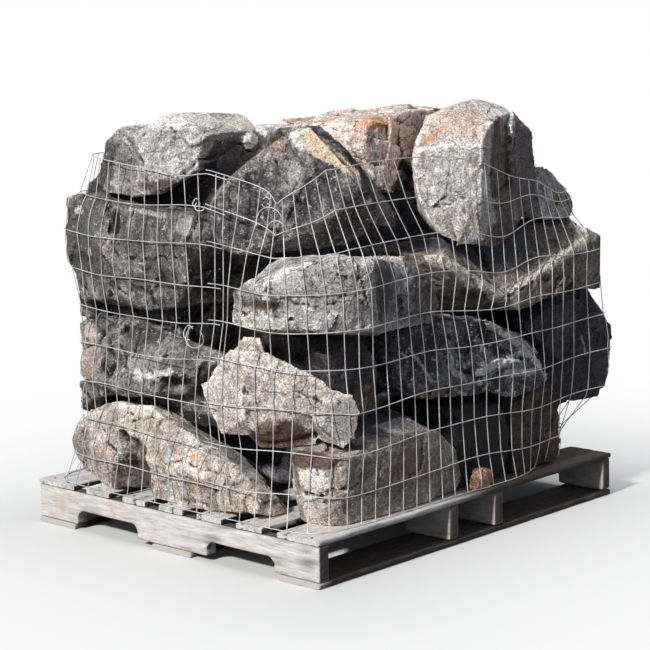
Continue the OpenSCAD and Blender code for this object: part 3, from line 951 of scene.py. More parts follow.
LOOKS: dict[str, Look] = {
    "left_boulder_1": Look(
        Stone(("#9A8C81", "#C0B1A5", "#E6DBD0"), lichen=0.35, pits=0.35, soil_and_shade="#3D3028", flake_mm=260.0),
        Slot.TAN_STONE,
        Relief(swell=4.5, ridge=1.0, grain=1.6, crack=1.6),
        cuts=(
            Slice((0.07, 0.5, 0.0), (-1, 0, -0.7)),
            Slice((0.3, 0.4, 0.8), (2, -1, 3)),
            Slice((0.3, 0.1, 0.35), (1, -0.7, 0.9)),
            Slice((0.16, 0.07, 0.3), (-0.1, -1, 0.25)),
        ),
        strokes=(Dent((0.0, 0.65, 0.2), (110, 100, 140), 66, (1, 0.15, 0.1)),),
        cracks=(
            Cleft(((0.02, 0.5, 0.42), (0.03, 0.42, 0.5), (0.05, 0.28, 0.48), (0.1, 0.2, 0.4)), 6, 6),
            Cleft(((0.05, 0.8, 0.6), (0.02, 0.72, 0.45)), 7, 7),
            Cleft(((0.02, 0.58, 0.32), (0.02, 0.55, 0.02)), 8, 9),
        ),
        stains=(
            # Painted shade in the recess low on the left face.
            Stain((0.12, 0.64, 0.24), (110, 84, 130), "#57473D", 1.2),
            Stain((0.1, 0.72, 0.1), (60, 50, 60), "#4A3B32", 0.8),
            Vein(((0.3, 0.45, 0.88), (0.32, 0.3, 0.7), (0.28, 0.12, 0.4)), 38, "#8F8984", 0.9),
            Stain((0.17, 0.68, 0.98), (60, 150, 26), "#EFE5D8"),
            Stain((0.2, 0.05, 0.3), (60, 30, 50), "#6F655D", 0.7),
            Vein(((0.02, 0.34, 0.62), (0.02, 0.33, 0.2)), 12, "#C49A78", 0.8),
            Stain((0.02, 0.93, 0.4), (60, 60, 110), "#8F847C", 0.8),
        ),
    ),
    "left_boulder_2": Look(
        Stone(("#5A5351", "#7F7774", "#ACA4A0"), lichen=0.55),
        Slot.GREY_STONE,
        Relief(facet=13.0, ridge=2.0, grain=2.0),
        cuts=(
            Slice((0.2, 0.55, 0.9), (0.4, -0.2, 1)),
            Slice((0.3, 0.2, 0.7), (0.4, -0.2, 1)),
            Slice((0.2, 0.15, 0.5), (-0.25, -1, -1)),
            Slice((0.08, 0.54, 0.09), (0, -0.12, -0.99)),
            Slice((0.12, 0.55, 0.74), (-0.6, 0.1, 0.6)),
            Chunk((
                (0.1, 1.0, 0.8), (0.1, 1.0, 0.5), (0.1, 0.95, 0.0), (0.15, 0.95, 0.9),
                (0.4, 0.8, 0.9), (0.4, 0.8, 0.05), (0.05, 0.8, 0.5), (0.05, 0.8, 0.1),
            )),
            rubble((0.3, 0.95), (0.05, 0.97), (-0.1, 0.4)),
            rubble((0.14, 0.5), (0.88, 1.03), (-0.1, 0.2)),
            rubble((0.32, 0.95), (0.4, 0.98), (0.6, 1.1)),
            rubble((0.14, 0.5), (0.9, 1.03), (0.85, 1.1)),
        ),
        strokes=(
            Dent((0.02, 0.72, 0.5), (60, 46, 80), 24),
            Dent((0.03, 0.3, 0.28), (60, 70, 34), 34),
        ),
        cracks=(
            Cleft(((0.13, 0.72, 0.82), (0.12, 0.79, 0.74), (0.1, 0.75, 0.6), (0.03, 0.76, 0.38)), 14, 26),
            Cleft(((0.18, 0.6, 0.8), (0.1, 0.58, 0.66), (0.06, 0.6, 0.5)), 8, 9),
            Cleft(((0.22, 0.42, 0.78), (0.12, 0.4, 0.6)), 7, 8),
            Cleft(((0.04, 0.5, 0.42), (0.05, 0.3, 0.4), (0.12, 0.16, 0.46)), 6, 7),
        ),
        stains=(
            Stain((0.06, 0.92, 0.5), (80, 80, 120), "#AD9A90", 0.9),
            Stain((0.06, 0.92, 0.74), (44, 40, 40), "#D3BDB4", 0.8),
            Vein(((0.05, 0.56, 0.42), (0.05, 0.45, 0.4), (0.06, 0.33, 0.46)), 16, "#DAD6D2", 0.9),
            Stain((0.05, 0.52, 0.36), (18, 22, 20), "#DCD8D4", 0.8),
            Stain((0.02, 0.4, 0.2), (34, 40, 12), "#97704F", 0.7),
            Stain((0.12, 0.58, 0.84), (110, 120, 50), "#4A4542", 0.9),
            # Painted shadow in the dent low on the left face.
            Stain((0.04, 0.3, 0.26), (50, 60, 26), "#191615"),
            Stain((0.03, 0.58, 0.5), (30, 80, 40), "#A79F9B", 0.8),
            # Painted shade on the stone packed behind and on top, seen only in the gaps.
            Stain((0.3, 0.55, -0.1), (130, 360, 36), "#171413", 1.5),
            Stain((0.35, 0.72, 1.06), (130, 260, 40), "#171413", 1.5),
            Stain((0.4, 0.45, 0.98), (60, 60, 40), "#171413", 1.5),
        ),
    ),
    "left_boulder_3": Look(
        Stone(("#453F3E", "#6B6361", "#9A918D"), lichen=0.5, streaks=0.25),
        Slot.GREY_STONE,
        Relief(facet=12.0),
        cuts=(
            Slice((0.09, 0.38, 0.92), (-0.05, -0.1, 0.99)),
            Slice((0.14, 0.1, 0.42), (-0.25, -0.9, -0.5)),
            Slice((0.1, 0.05, 0.9), (-0.3, -0.5, 0.8)),
            Chunk((
                (0.1, 1.0, 0.95), (0.1, 1.0, 0.5), (0.1, 0.95, 0.35), (0.1, 0.9, 0.05),
                (0.1, 0.5, 0.05), (0.5, 0.8, 0.95), (0.5, 0.9, 0.5), (0.5, 0.8, 0.05),
                (0.02, 0.75, 0.5), (0.02, 0.6, 0.1), (0.1, 0.9, 1.0),
            )),
            rubble((0.4, 0.95), (0.05, 0.92), (0.6, 1.12)),
        ),
        strokes=(
            Dent((0.03, 0.62, 0.78), (50, 30, 60), 20),
            Dent((0.03, 0.35, 0.3), (50, 130, 40), 12),
            Dent((0.02, 0.85, 0.35), (50, 60, 60), 14),
        ),
        cracks=(
            Cleft(((0.06, 0.67, 0.95), (0.05, 0.62, 0.75), (0.04, 0.58, 0.6)), 10, 13),
            Cleft(((0.04, 0.62, 0.63), (0.03, 0.57, 0.47), (0.06, 0.35, 0.5), (0.1, 0.15, 0.53)), 7, 8),
            Cleft(((0.01, 0.65, 0.24), (0.02, 0.52, 0.16), (0.03, 0.4, 0.24), (0.08, 0.2, 0.25)), 7, 8),
            Cleft(((0.14, 0.09, 0.78), (0.14, 0.07, 0.7)), 9, 14),
        ),
        stains=(
            Stain((0.06, 0.88, 0.6), (110, 110, 150), "#5A5852", 0.95),
            Stain((0.02, 0.86, 0.84), (30, 34, 18), "#D4D2CB"),
            Stain((0.02, 0.78, 0.5), (20, 20, 26), "#C4C1BA", 0.8),
            Vein(((0.1, 0.52, 0.9), (0.12, 0.3, 0.86)), 11, "#C6C1BB", 0.7),
            Stain((0.12, 0.14, 0.78), (60, 60, 40), "#B5ABA4", 0.8),
            # Painted shade on the right end, which faces away from the light.
            Stain((0.2, 0.03, 0.36), (110, 56, 120), "#1F1B1A", 1.2),
            # Painted shade on the stone packed on top, seen in the gap below the boulder above.
            Stain((0.4, 0.5, 1.05), (40, 330, 40), "#171413"),
        ),
    ),
    "left_boulder_4": Look(
        Stone(("#877F7E", "#BFB7B3", "#E3DCD7"), lichen=0.35, patch_mm=110.0),
        Slot.DARK_STONE,
        Relief(facet=7.0, swell=3.5),
        cuts=(
            Slice((0.0, 0.2, 0.25), (0.4, -0.5, -1)),
            Slice((0.13, 0.05, 0.6), (-0.05, -1.0, -0.1)),
            Chunk((
                (0.05, 1.0, 0.4), (0.05, 0.95, 0.65), (0.05, 0.8, 0.85), (0.05, 1.05, 0.1),
                (0.4, 0.7, 0.9), (0.4, 0.95, 0.4), (0.2, 0.6, 0.1), (0.1, 0.6, 0.6), (0.5, 0.9, 0.7),
            )),
            Block((0.6, 0.02, 0.66), (70, 60, 54), (0, 20, 20), proud=True),
            Chunk((
                (0.14, 1.2, 0.12), (0.14, 1.25, -0.06), (0.14, 1.07, 0.3), (0.14, 0.9, 0.0),
                (0.5, 1.1, 0.0), (0.5, 1.18, 0.16), (0.5, 0.9, 0.34),
            )),
        ),
        strokes=(Dent((0.01, 0.74, 0.42), (50, 90, 60), 14),),
        cracks=(
            Cleft(((0.03, 0.3, 0.22), (0.08, 0.1, 0.5), (0.3, 0.02, 0.42)), 8, 9),
            Cleft(((0.1, 0.5, 0.93), (0.12, 0.36, 0.9)), 6, 6),
            Cleft(((0.02, 0.62, 0.85), (0.0, 0.64, 0.5), (0.0, 0.58, 0.3)), 7, 8),
        ),
        stains=(
            Stain((0.02, 0.8, 0.45), (150, 190, 200), "#8B8482", 0.65),
            Stain((0.0, 1.0, 0.4), (120, 150, 190), "#5C5654", 0.8),
            # Painted shade on the stone packed behind, seen only in the gap.
            Stain((0.3, 1.12, 0.1), (130, 90, 90), "#1A1718", 1.4),
            Stain((0.25, 0.45, 0.97), (130, 220, 34), "#EFEBE7"),
            Stain((0.02, 0.3, 0.12), (60, 160, 26), "#54443B"),
            # Painted shade on the end facet, which faces away from the light.
            Stain((0.35, 0.03, 0.42), (150, 30, 96), "#1F1C1D", 1.3),
            Stain((0.6, -0.02, 0.66), (44, 40, 40), "#A79E99", 1.2),
            Stain((0.7, 0.16, 0.97), (130, 110, 30), "#E3D9CB"),
        ),
    ),
    "corner_boulder_1": Look(
        Stone(("#8B7B73", "#AF9F95", "#D5C7BC"), lichen=0.12, soil_and_shade="#5A4A40"),
        Slot.TAN_STONE,
        Relief(facet=7.0, swell=4.0, ridge=0.8, grain=1.6, crack=1.5),
        cuts=(
            Chunk((
                (1.0, 0.15, 0.5), (1.05, 0.15, 0.15), (1.0, 0.15, 0.0), (0.85, 0.15, 0.8),
                (0.7, 0.5, 0.8), (0.7, 0.5, 0.0), (0.7, 0.05, 0.3), (0.7, 0.05, 0.0), (0.7, 0.2, 0.8),
            )),
            Slice((0.01, 0.3, 0.52), (-1, -0.35, 0.3)),
            Block((-0.02, 0.42, 0.99), (290, 350, 90), (0, -3, 8)),
        ),
        cracks=(
            Cleft(((0.03, 0.18, 0.66), (0.05, 0.2, 0.4)), 7, 9),
            Cleft(((0.0, 0.5, 0.34), (0.02, 0.3, 0.36), (0.05, 0.12, 0.38), (0.14, 0.0, 0.46)), 9, 13),
            Cleft(((0.14, 0.0, 0.46), (0.3, 0.0, 0.5)), 6, 5),
        ),
        stains=(
            Stain((0.02, 0.24, 0.56), (44, 56, 40), "#E9DFD3"),
            Stain((0.03, 0.42, 0.2), (50, 60, 56), "#E0D5C8"),
            # Painted shadow of the stone above on the upper left face.
            Stain((0.02, 0.3, 0.76), (60, 120, 26), "#5E493D", 1.3),
            # Painted shade, bluish, on the top.
            Stain((0.5, 0.5, 1.0), (260, 150, 30), "#474856"),
            Stain((0.55, 0.02, 0.45), (210, 30, 90), "#977B6F", 0.85),
        ),
    ),
    "corner_boulder_2": Look(
        Stone(("#B5A69B", "#D6C9BE", "#ECE1D8"), lichen=0.15, soil_and_shade="#5A4A3E", flake_mm=220.0),
        Slot.PALE_STONE,
        Relief(facet=6.0, swell=3.0, ridge=0.8, grain=1.6, crack=1.5),
        cuts=(
            Slice((0.3, 0.2, 0.86), (0.2, -0.45, 0.9)),
            Slice((0.0, 0.65, 0.5), (-0.8, -0.55, 0.05)),
            Slice((0.4, 0.35, 0.3), (-0.6, -0.6, -0.5)),
            Chunk((
                (0.05, 1.05, 0.55), (0.05, 0.95, 0.4), (0.05, 0.85, 0.05), (0.4, 0.7, 0.8),
                (0.4, 0.9, 0.5), (0.3, 0.6, 0.05), (0.05, 0.7, 0.75), (0.0, 0.6, 0.3),
            )),
            Chunk((
                (0.6, 1.06, 0.76), (0.7, 0.93, 1.0), (0.7, 0.77, 1.02), (0.74, 0.76, 0.93),
                (0.7, 0.84, 0.84), (0.75, 0.7, 0.7), (0.85, 0.95, 0.7), (0.85, 0.9, 0.95),
                (0.85, 0.8, 0.95), (0.6, 0.9, 0.7),
            )),
            Chunk((
                (0.28, 0.61, -0.09), (0.6, 0.45, -0.08), (0.84, 0.31, -0.05), (0.3, 0.8, 0.1),
                (0.8, 0.6, 0.1), (0.5, 0.6, 0.2), (0.9, 0.3, 0.15),
            )),
            Chunk((
                (0.6, 0.2, 0.46), (0.56, 0.24, 0.28), (0.7, 0.12, 0.06), (0.86, 0.0, 0.54),
                (0.95, -0.02, 0.36), (0.9, 0.0, 0.1), (0.8, 0.06, -0.02), (0.8, 0.3, 0.6),
                (0.85, 0.3, 0.0),
            )),
        ),
        cracks=(
            Cleft(((0.0, 0.6, 0.62), (0.0, 0.58, 0.34)), 4.5, 8),
            Cleft(((0.16, 0.22, 0.5), (0.2, 0.1, 0.58)), 6, 7),
            Cleft(((0.7, 0.0, 0.5), (0.4, 0.02, 0.4), (0.35, 0.02, 0.22)), 6, 8),
            Cleft(((0.3, 0.02, 0.75), (0.36, 0.02, 0.56), (0.5, 0.02, 0.5)), 5, 5),
        ),
        stains=(
            # Soil and painted shade on the undercut underside.
            Stain((0.45, 0.48, 0.02), (84, 96, 66), "#634836", 1.4),
            Stain((0.0, 0.6, 0.56), (9, 8, 16), "#3C332C"),
            Stain((0.65, 0.98, 0.85), (50, 40, 60), "#CFC0AE", 0.7),
            Stain((0.8, 0.05, 0.28), (76, 70, 76), "#9F9895", 1.1),
            Vein(((0.6, 0.18, 0.48), (0.58, 0.2, 0.2), (0.7, 0.1, 0.05)), 5, "#4A433F", 0.9),
        ),
    ),
    "inner_boulder_2": Look(
        Stone(("#2B2829", "#443F41", "#666061"), lichen=0.2),
        Slot.GREY_STONE,
        Relief(facet=9.0),
        stains=(Stain((0.9, 0.06, 0.25), (110, 60, 60), "#6B5546", 0.9),),
    ),
    "corner_boulder_3": Look(
        Stone(("#8D8583", "#BAB2AF", "#E4DEDA"), lichen=0.45, soil_and_shade="#3F3631"),
        Slot.PALE_STONE,
        Relief(facet=9.0, swell=3.5),
        cuts=(
            Slice((0.2, 0.15, 0.1), (-0.15, -0.1, -1)),
            Slice((0.4, 0.03, 0.9), (-0.2, -0.35, 0.9)),
            Slice((0.45, 0.02, 0.4), (0.25, -1, 0.0)),
            Chunk((
                (0.0, 0.9, 0.55), (0.0, 0.9, 0.35), (0.0, 0.9, 0.15), (0.0, 0.7, 0.7),
                (0.4, 0.6, 0.85), (0.4, 0.6, 0.1), (0.3, 0.9, 0.5), (0.0, 0.5, 0.5), (0.05, 0.5, 0.12),
            )),
            Chunk((
                (1.1, 0.15, 0.2), (1.05, 0.15, 0.0), (1.0, 0.15, 0.6), (0.8, 0.15, 0.85),
                (0.8, 0.15, 0.0), (0.7, 0.5, 0.85), (0.7, 0.5, 0.05), (0.75, 0.08, 0.3),
            )),
        ),
        strokes=(Dent((0.02, 0.62, 0.42), (40, 90, 24), 11), Dent((0.2, 0.14, 0.5), (80, 70, 50), 8)),
        cracks=(
            Cleft(((0.02, 0.8, 0.3), (0.03, 0.6, 0.34), (0.1, 0.34, 0.26)), 7, 8),
            Cleft(((0.3, 0.05, 0.95), (0.36, 0.04, 0.6), (0.42, 0.03, 0.3)), 6, 6),
            Cleft(((0.02, 0.4, 0.5), (0.12, 0.2, 0.44), (0.3, 0.05, 0.5)), 6, 6),
        ),
        stains=(
            Stain((0.03, 0.64, 0.2), (70, 150, 30), "#EFE4D6"),
            Stain((0.06, 0.5, 0.04), (150, 200, 18), "#5C4636"),
            Stain((0.03, 0.56, 0.42), (46, 80, 18), "#6F5338", 0.9),
            Stain((0.08, 0.4, 0.72), (60, 70, 50), "#D6CEC6", 0.8),
            # Painted shade on the front and right facets, which face away from the light.
            Stain((0.56, 0.02, 0.5), (80, 50, 120), "#55525A", 0.9),
            Stain((0.95, 0.15, 0.4), (100, 90, 120), "#6E6462", 0.9),
            Stain((0.3, 0.2, 0.92), (120, 100, 26), "#CFC8C4", 0.7),
            Vein(((0.38, 0.04, 0.85), (0.45, 0.03, 0.5), (0.5, 0.03, 0.2)), 9, "#D8D1CA", 0.8),
        ),
    ),
    "corner_boulder_4": Look(
        Stone(("#373335", "#6A6364", "#A19896"), lichen=0.6, patch_mm=80.0),
        Slot.DARK_STONE,
        Relief(facet=6.0, swell=3.0, ridge=1.5),
        cuts=(
            Slice((0.6, 0.2, 0.3), (-0.4, -0.9, -1)),
            Slice((0.45, 0.35, 0.15), (-0.1, -1, -0.6)),
            Slice((0.14, 0.68, 0.56), (-0.75, -0.3, 0.55)),
            Slice((0.02, 0.66, 0.06), (-0.7, -0.5, -0.5)),
            Slice((0.46, 0.42, 0.75), (-0.7, -0.66, 0.2)),
            Chunk((
                (0.75, 0.55, 1.0), (0.75, 0.3, 0.8), (0.75, 0.3, 0.7), (0.8, 0.15, 0.4),
                (0.5, 0.35, 0.3), (1.05, 0.4, 0.55), (1.15, 0.25, 0.25), (1.15, 0.25, 0.15),
                (0.5, 0.6, 0.95), (0.5, 0.6, 0.3), (1.05, 0.7, 0.6), (0.95, 0.24, 0.2),
                (0.6, 0.35, 0.85),
            )),
        ),
        cracks=(
            Cleft(((0.3, 0.5, 0.75), (0.34, 0.46, 0.5), (0.44, 0.38, 0.4)), 6, 7),
            Cleft(((0.1, 0.7, 0.3), (0.3, 0.5, 0.2)), 7, 8),
            Cleft(((0.74, 0.32, 0.74), (0.9, 0.3, 0.5), (1.05, 0.27, 0.4)), 7, 9),
        ),
        stains=(
            # Buff stone on the top facet and its white tip, brightened as painted sunlight.
            Vein(((0.46, 0.43, 0.97), (0.53, 0.36, 0.84), (0.62, 0.3, 0.74), (0.7, 0.24, 0.6)), 27,
                 "#FFE3C2", 1.4),
            Stain((0.46, 0.44, 0.96), (36, 36, 50), "#FFFCF4", 1.4),
            # Painted shade on the facet right of the ridge.
            Vein(((0.7, 0.4, 0.98), (0.76, 0.3, 0.72), (0.86, 0.18, 0.45)), 20, "#25252D"),
            Stain((1.0, 0.28, 0.4), (80, 60, 70), "#98918F", 0.8),
            Stain((0.38, 0.42, 0.66), (30, 30, 40), "#C8C5C1", 0.8),
            Stain((0.3, 0.5, 0.9), (40, 50, 30), "#A98B83", 0.7),
            # Brown underside lightened with painted bounce light.
            Stain((0.6, 0.24, 0.2), (190, 90, 50), "#5B4A41", 0.8),
            Vein(((0.5, 0.36, 0.28), (0.62, 0.24, 0.36), (0.76, 0.14, 0.42)), 14, "#9A8C83", 0.9),
        ),
        chips=8,
        chip_depth=8.0,
    ),
    # A dark stone with near-black tones, darkened further as painted shade.
    "front_boulder_1": Look(Stone(("#0E0C0E", "#191719", "#2B282C"), lichen=0.1), Slot.GREY_STONE),
    "front_boulder_2": Look(
        Stone(("#2F2423", "#4B3F3C", "#6E5D57"), lichen=0.1),
        Slot.BROWN_STONE,
        cuts=(
            Chunk((
                (0.95, 0.03, 0.76), (0.93, 0.03, 0.28), (0.89, 0.03, 0.0), (0.3, 0.06, 0.8),
                (0.3, 0.06, 0.0), (0.9, 0.5, 0.8), (0.9, 0.5, 0.0), (0.3, 0.4, 0.95),
            )),
        ),
        stains=(
            Stain((0.3, 0.03, 0.6), (50, 40, 60), "#7E6250", 0.8),
            Stain((0.75, 0.03, 0.35), (60, 40, 120), "#7D5F51", 0.9),
        ),
    ),
    "front_boulder_3": Look(
        Stone(("#37333A", "#5C5860", "#908C93"), lichen=0.7),
        Slot.DARK_STONE,
        Relief(facet=12.0, ridge=3.0, crack=4.0),
        cuts=(
            Slice((0.76, 0.06, 0.62), (0.4, -0.45, 0.8)),
            Slice((0.25, 0.05, 0.5), (-0.35, -1, 0.2)),
            Slice((0.6, 0.04, 0.3), (0.15, -0.9, -0.45)),
            Chunk((
                (0.44, 0.0, 0.45), (0.59, -0.03, 0.44), (0.76, -0.02, 0.32), (0.94, 0.0, 0.11),
                (0.93, 0.0, -0.08), (0.69, 0.0, -0.12), (0.48, 0.03, 0.06), (0.5, 0.3, 0.4),
                (0.8, 0.3, 0.3),
            )),
            Chunk((
                (0.46, -0.02, 0.99), (0.55, -0.03, 0.89), (0.76, -0.02, 0.53), (0.9, 0.0, 0.2),
                (0.72, 0.0, 0.44), (0.56, 0.02, 0.6), (0.5, 0.2, 0.9), (0.7, 0.2, 0.5), (0.85, 0.2, 0.2),
            )),
        ),
        strokes=(Dent((0.4, 0.02, 0.62), (60, 60, 44), 18), Dent((0.55, 0.0, 0.2), (90, 50, 24), 12)),
        cracks=(Cleft(((0.3, 0.05, 0.8), (0.36, 0.04, 0.4), (0.5, 0.03, 0.2)), 10, 12),),
        stains=(
            Vein(((0.52, 0.1, 0.93), (0.66, 0.07, 0.76), (0.78, 0.06, 0.58), (0.93, 0.05, 0.34)), 15,
                 "#D8D2CC", 0.95),
            Stain((0.7, 0.04, 0.35), (150, 60, 70), "#A5A0A1", 0.62),
            Stain((0.9, 0.06, 0.28), (60, 50, 50), "#9A9596", 0.8),
            Stain((0.15, 0.06, 0.6), (90, 50, 70), "#2A272C", 0.8),
            # Painted sunlight on the spike and the ridges.
            Vein(((0.48, 0.0, 0.98), (0.62, 0.0, 0.74), (0.76, 0.0, 0.5), (0.9, 0.0, 0.3)), 15,
                 "#FFF6EE", 2.2),
            Vein(((0.44, 0.0, 0.3), (0.53, 0.0, 0.37), (0.66, 0.0, 0.43), (0.78, 0.0, 0.42)), 13,
                 "#FFFFFF", 2.2),
            Vein(((0.78, 0.0, 0.42), (0.92, 0.0, 0.3), (0.93, 0.0, 0.06)), 16, "#FFFFFF", 2.0),
            Vein(((0.46, 0.0, 0.16), (0.56, 0.0, 0.2), (0.66, 0.0, 0.23), (0.81, 0.0, 0.17)), 11,
                 "#F2EFED", 1.8),
            Vein(((0.09, 0.05, 0.72), (0.18, 0.02, 0.36), (0.4, 0.0, 0.04)), 6, "#D9D6D4", 1.1),
            Vein(((0.28, 0.0, 0.6), (0.3, 0.0, 0.4), (0.36, 0.0, 0.3)), 10, "#D3D0D0", 1.5),
            Stain((0.16, 0.0, 0.02), (120, 40, 40), "#77685C"),
        ),
    ),
    "front_boulder_4": Look(
        Stone(("#6F5F57", "#98877D", "#BFB2A8"), lichen=0.15, soil_and_shade="#3A2E28", streaks=0.35,
              streak_way=(0.8, 0, 0.4)),
        Slot.BROWN_STONE,
        Relief(facet=8.0),
        cuts=(
            Chunk((
                (1.05, 0.1, 0.75), (1.05, 0.1, 0.05), (0.9, 0.1, 0.95), (0.8, 0.5, 0.9),
                (0.8, 0.5, 0.1), (0.8, 0.08, 0.4), (0.8, 0.1, 0.9), (0.9, 0.08, 0.1),
            )),
            Block((0.285, 0.22, 1.27), (330, 420, 200), (42, 25.6, 0)),
            Block((0.61, 0.25, 1.29), (480, 420, 200), (42, -12, 0)),
            Slice((0.1, 0.05, 0.5), (-0.4, -1, -0.35)),
            Chunk((
                (1.01, 0.43, 0.98), (0.88, 0.65, 1.0), (0.5, 0.65, 1.0), (1.0, 0.12, 0.76),
                (0.6, 0.48, 0.95), (0.5, 0.6, 0.4), (1.0, 0.5, 0.4), (0.9, 0.2, 0.5),
            )),
        ),
        cracks=(
            Cleft(((0.35, 0.0, 0.2), (0.55, 0.02, 0.3), (0.75, 0.04, 0.36)), 7, 7),
            Cleft(((0.6, 0.03, 0.1), (0.85, 0.05, 0.28)), 7, 7),
        ),
        stains=(
            Vein(((-0.02, 0.06, 1.0), (0.1, 0.05, 0.76), (0.18, 0.03, 0.53), (0.35, 0.0, 0.35)), 27,
                 "#F1E5D2", 1.2),
            Vein(((0.35, 0.0, 0.35), (0.54, 0.02, 0.42), (0.83, 0.07, 0.6), (1.0, 0.1, 0.76)), 19,
                 "#E6D9C8", 1.1),
            # Painted shadow, bluish, in the hollow top under the stones above.
            Stain((0.5, 0.4, 0.75), (240, 90, 80), "#4E4F61", 1.2),
            Stain((0.2, 0.5, 0.9), (140, 90, 80), "#4E4F61", 1.2),
            Stain((0.9, 0.45, 0.9), (90, 60, 40), "#4E4F61", 1.2),
            Stain((0.2, 0.03, 0.2), (80, 30, 40), "#4A3C34", 0.9),
            Stain((0.65, 0.03, 0.25), (60, 40, 26), "#A98B6E", 0.8),
            Stain((0.97, 0.2, 0.85), (60, 90, 50), "#D6CCC0", 0.8),
        ),
        chips=10,
    ),
    "front_boulder_5": Look(
        Stone(("#BDAFA6", "#E3D8D0", "#FAF4EE"), lichen=0.35, soil_and_shade="#6A5A50", streaks=0.2, pits=0.25),
        Slot.PALE_STONE,
        Relief(facet=6.0, swell=3.0, ridge=1.5, crack=2.0),
        cuts=(
            Slice((0.33, 0.05, 0.6), (0.3, -1, 0.0)),
            Slice((0.2, 0.42, 0.86), (-0.45, -0.3, 0.85)),
            Slice((0.15, 0.45, 0.1), (-0.9, 0.9, -1)),
            Slice((0.55, 0.1, 0.05), (0.35, -0.65, -1)),
            Chunk((
                (0.5, 0.1, -0.05), (0.15, 0.15, 0.0), (0.75, 0.2, 0.0), (0.95, 0.25, 0.15),
                (0.2, 0.3, 0.3), (0.6, 0.1, 0.3), (0.6, 0.5, 0.1), (0.9, 0.3, 0.4), (0.3, 0.12, 0.3),
            )),
            Chunk((
                (1.05, 0.3, 0.75), (1.1, 0.3, 0.5), (1.1, 0.3, 0.25), (1.0, 0.3, 0.15),
                (0.85, 0.3, 0.9), (0.7, 0.5, 0.9), (0.7, 0.5, 0.2), (0.75, 0.17, 0.5),
                (0.8, 0.2, 0.25), (0.75, 0.2, 0.8),
            )),
        ),
        cracks=(
            Cleft(((0.16, 0.3, 0.6), (0.2, 0.2, 0.35), (0.25, 0.12, 0.2)), 5, 4),
            Cleft(((0.6, 0.07, 0.8), (0.62, 0.07, 0.5), (0.58, 0.08, 0.25)), 6, 6),
            Cleft(((0.76, 0.14, 0.85), (0.78, 0.14, 0.4)), 7, 8),
        ),
        stains=(
            Vein(((0.08, 0.44, 0.74), (0.2, 0.4, 0.82), (0.3, 0.4, 0.94)), 22, "#DDB08F", 0.75),
            Vein(((0.3, 0.26, 0.76), (0.42, 0.3, 0.86), (0.5, 0.34, 0.96)), 20, "#E3BBA3", 0.75),
            Stain((0.3, 0.36, 0.84), (150, 120, 52), "#EBD3BF", 0.9),
            Vein(((0.02, 0.5, 0.68), (0.18, 0.25, 0.69), (0.32, 0.07, 0.68)), 9, "#FAF7F4", 0.95),
            # Painted shade on the right facets, which face away from the light.
            Stain((0.62, 0.1, 0.42), (84, 34, 210), "#78685F", 1.4),
            Stain((0.95, 0.25, 0.45), (110, 90, 190), "#7C6E70", 1.4),
            Stain((0.66, 0.12, 0.03), (120, 60, 60), "#534540", 1.3),
            Vein(((0.66, 0.12, 0.88), (0.68, 0.12, 0.6)), 12, "#C6B7AB", 0.9),
            Stain((0.7, 0.12, 0.14), (90, 40, 40), "#6E5446", 0.8),
        ),
        chips=12,
        chip_depth=8.0,
    ),
    "right_boulder_2": Look(
        Stone(("#2A282F", "#403D46", "#625E68"), lichen=0.3),
        Slot.DARK_STONE,
        cuts=(
            Chunk((
                (1.1, -0.07, 0.32), (1.0, -0.07, 0.0), (0.5, 0.0, 0.0), (1.1, -0.07, 0.6),
                (0.88, -0.05, 0.86), (0.7, 0.4, 0.8), (0.7, 0.4, 0.05), (1.08, 0.3, 0.4),
                (0.5, 0.2, 0.8), (0.98, 0.14, 1.07), (0.67, 0.46, 1.07), (0.3, 0.3, 0.9),
                (0.93, -0.05, -0.16), (0.42, 0.0, -0.13), (0.3, 0.05, 0.1), (0.9, 0.2, -0.16),
            )),
        ),
        stains=(
            Vein(((0.7, -0.05, 0.55), (0.74, -0.05, 0.36)), 7, "#C4C0C4", 0.9),
            Stain((0.5, 0.0, 0.8), (70, 40, 30), "#5A5A6B", 0.8),
            Stain((0.85, -0.05, 0.7), (60, 40, 40), "#5A5A6B", 0.8),
        ),
    ),
    "right_boulder_4": Look(
        Stone(("#98908A", "#C2BAB3", "#E4DED7"), lichen=0.4),
        Slot.GREY_STONE,
        stains=(
            Stain((0.5, 0.1, 0.35), (40, 40, 26), "#B4935F", 0.9),
            Stain((0.95, 0.2, 0.4), (50, 80, 90), "#3E3A38", 0.9),
        ),
    ),
    "pebble": Look(
        Stone(("#A2785A", "#CC9F7D", "#E8C9AE"), lichen=0.0, pits=0.1),
        Slot.ORANGE_STONE,
        Relief(1.0, 2.0, 0.5, 0.3, 0.0),
        cuts=(
            Chunk((
                (-0.12, 0.5, 0.1), (1.3, 0.5, 0.1), (-0.1, 0.5, 0.7), (1.25, 0.5, 0.7), (0.5, 0.0, 0.5),
                (0.5, 1.0, 0.5), (0.55, 0.5, 1.0), (0.5, 0.5, 0.0), (0.9, 0.5, 0.95), (0.9, 0.1, 0.4),
            )),
        ),
        voxel=3.0,
        chips=1,
        chip_depth=2.0,
    ),
    "top_boulder_1": Look(
        Stone(("#C4A798", "#E8D2C4", "#FBEFE6"), lichen=0.1, soil_and_shade="#5A4436", streaks=0.3,
              streak_way=(0.9, 0.3, 0.3), pits=0.3),
        Slot.ORANGE_STONE,
        Relief(ledge=2.5, ledge_step=60.0, ledge_way=(0.25, -0.2, 1.0)),
        cuts=(
            Chunk((
                (0.9, 0.3, 0.95), (0.85, 0.3, 0.75), (0.9, 0.3, 0.45), (1.2, 0.55, 0.9),
                (1.0, 0.55, 0.95), (0.6, 0.5, 0.95), (0.6, 0.5, 0.4), (1.0, 0.6, 0.5), (0.6, 0.25, 0.6),
                (0.42, 0.2, 0.9), (0.42, 0.2, 0.5), (0.7, 0.26, 0.2), (0.6, 0.24, 0.94),
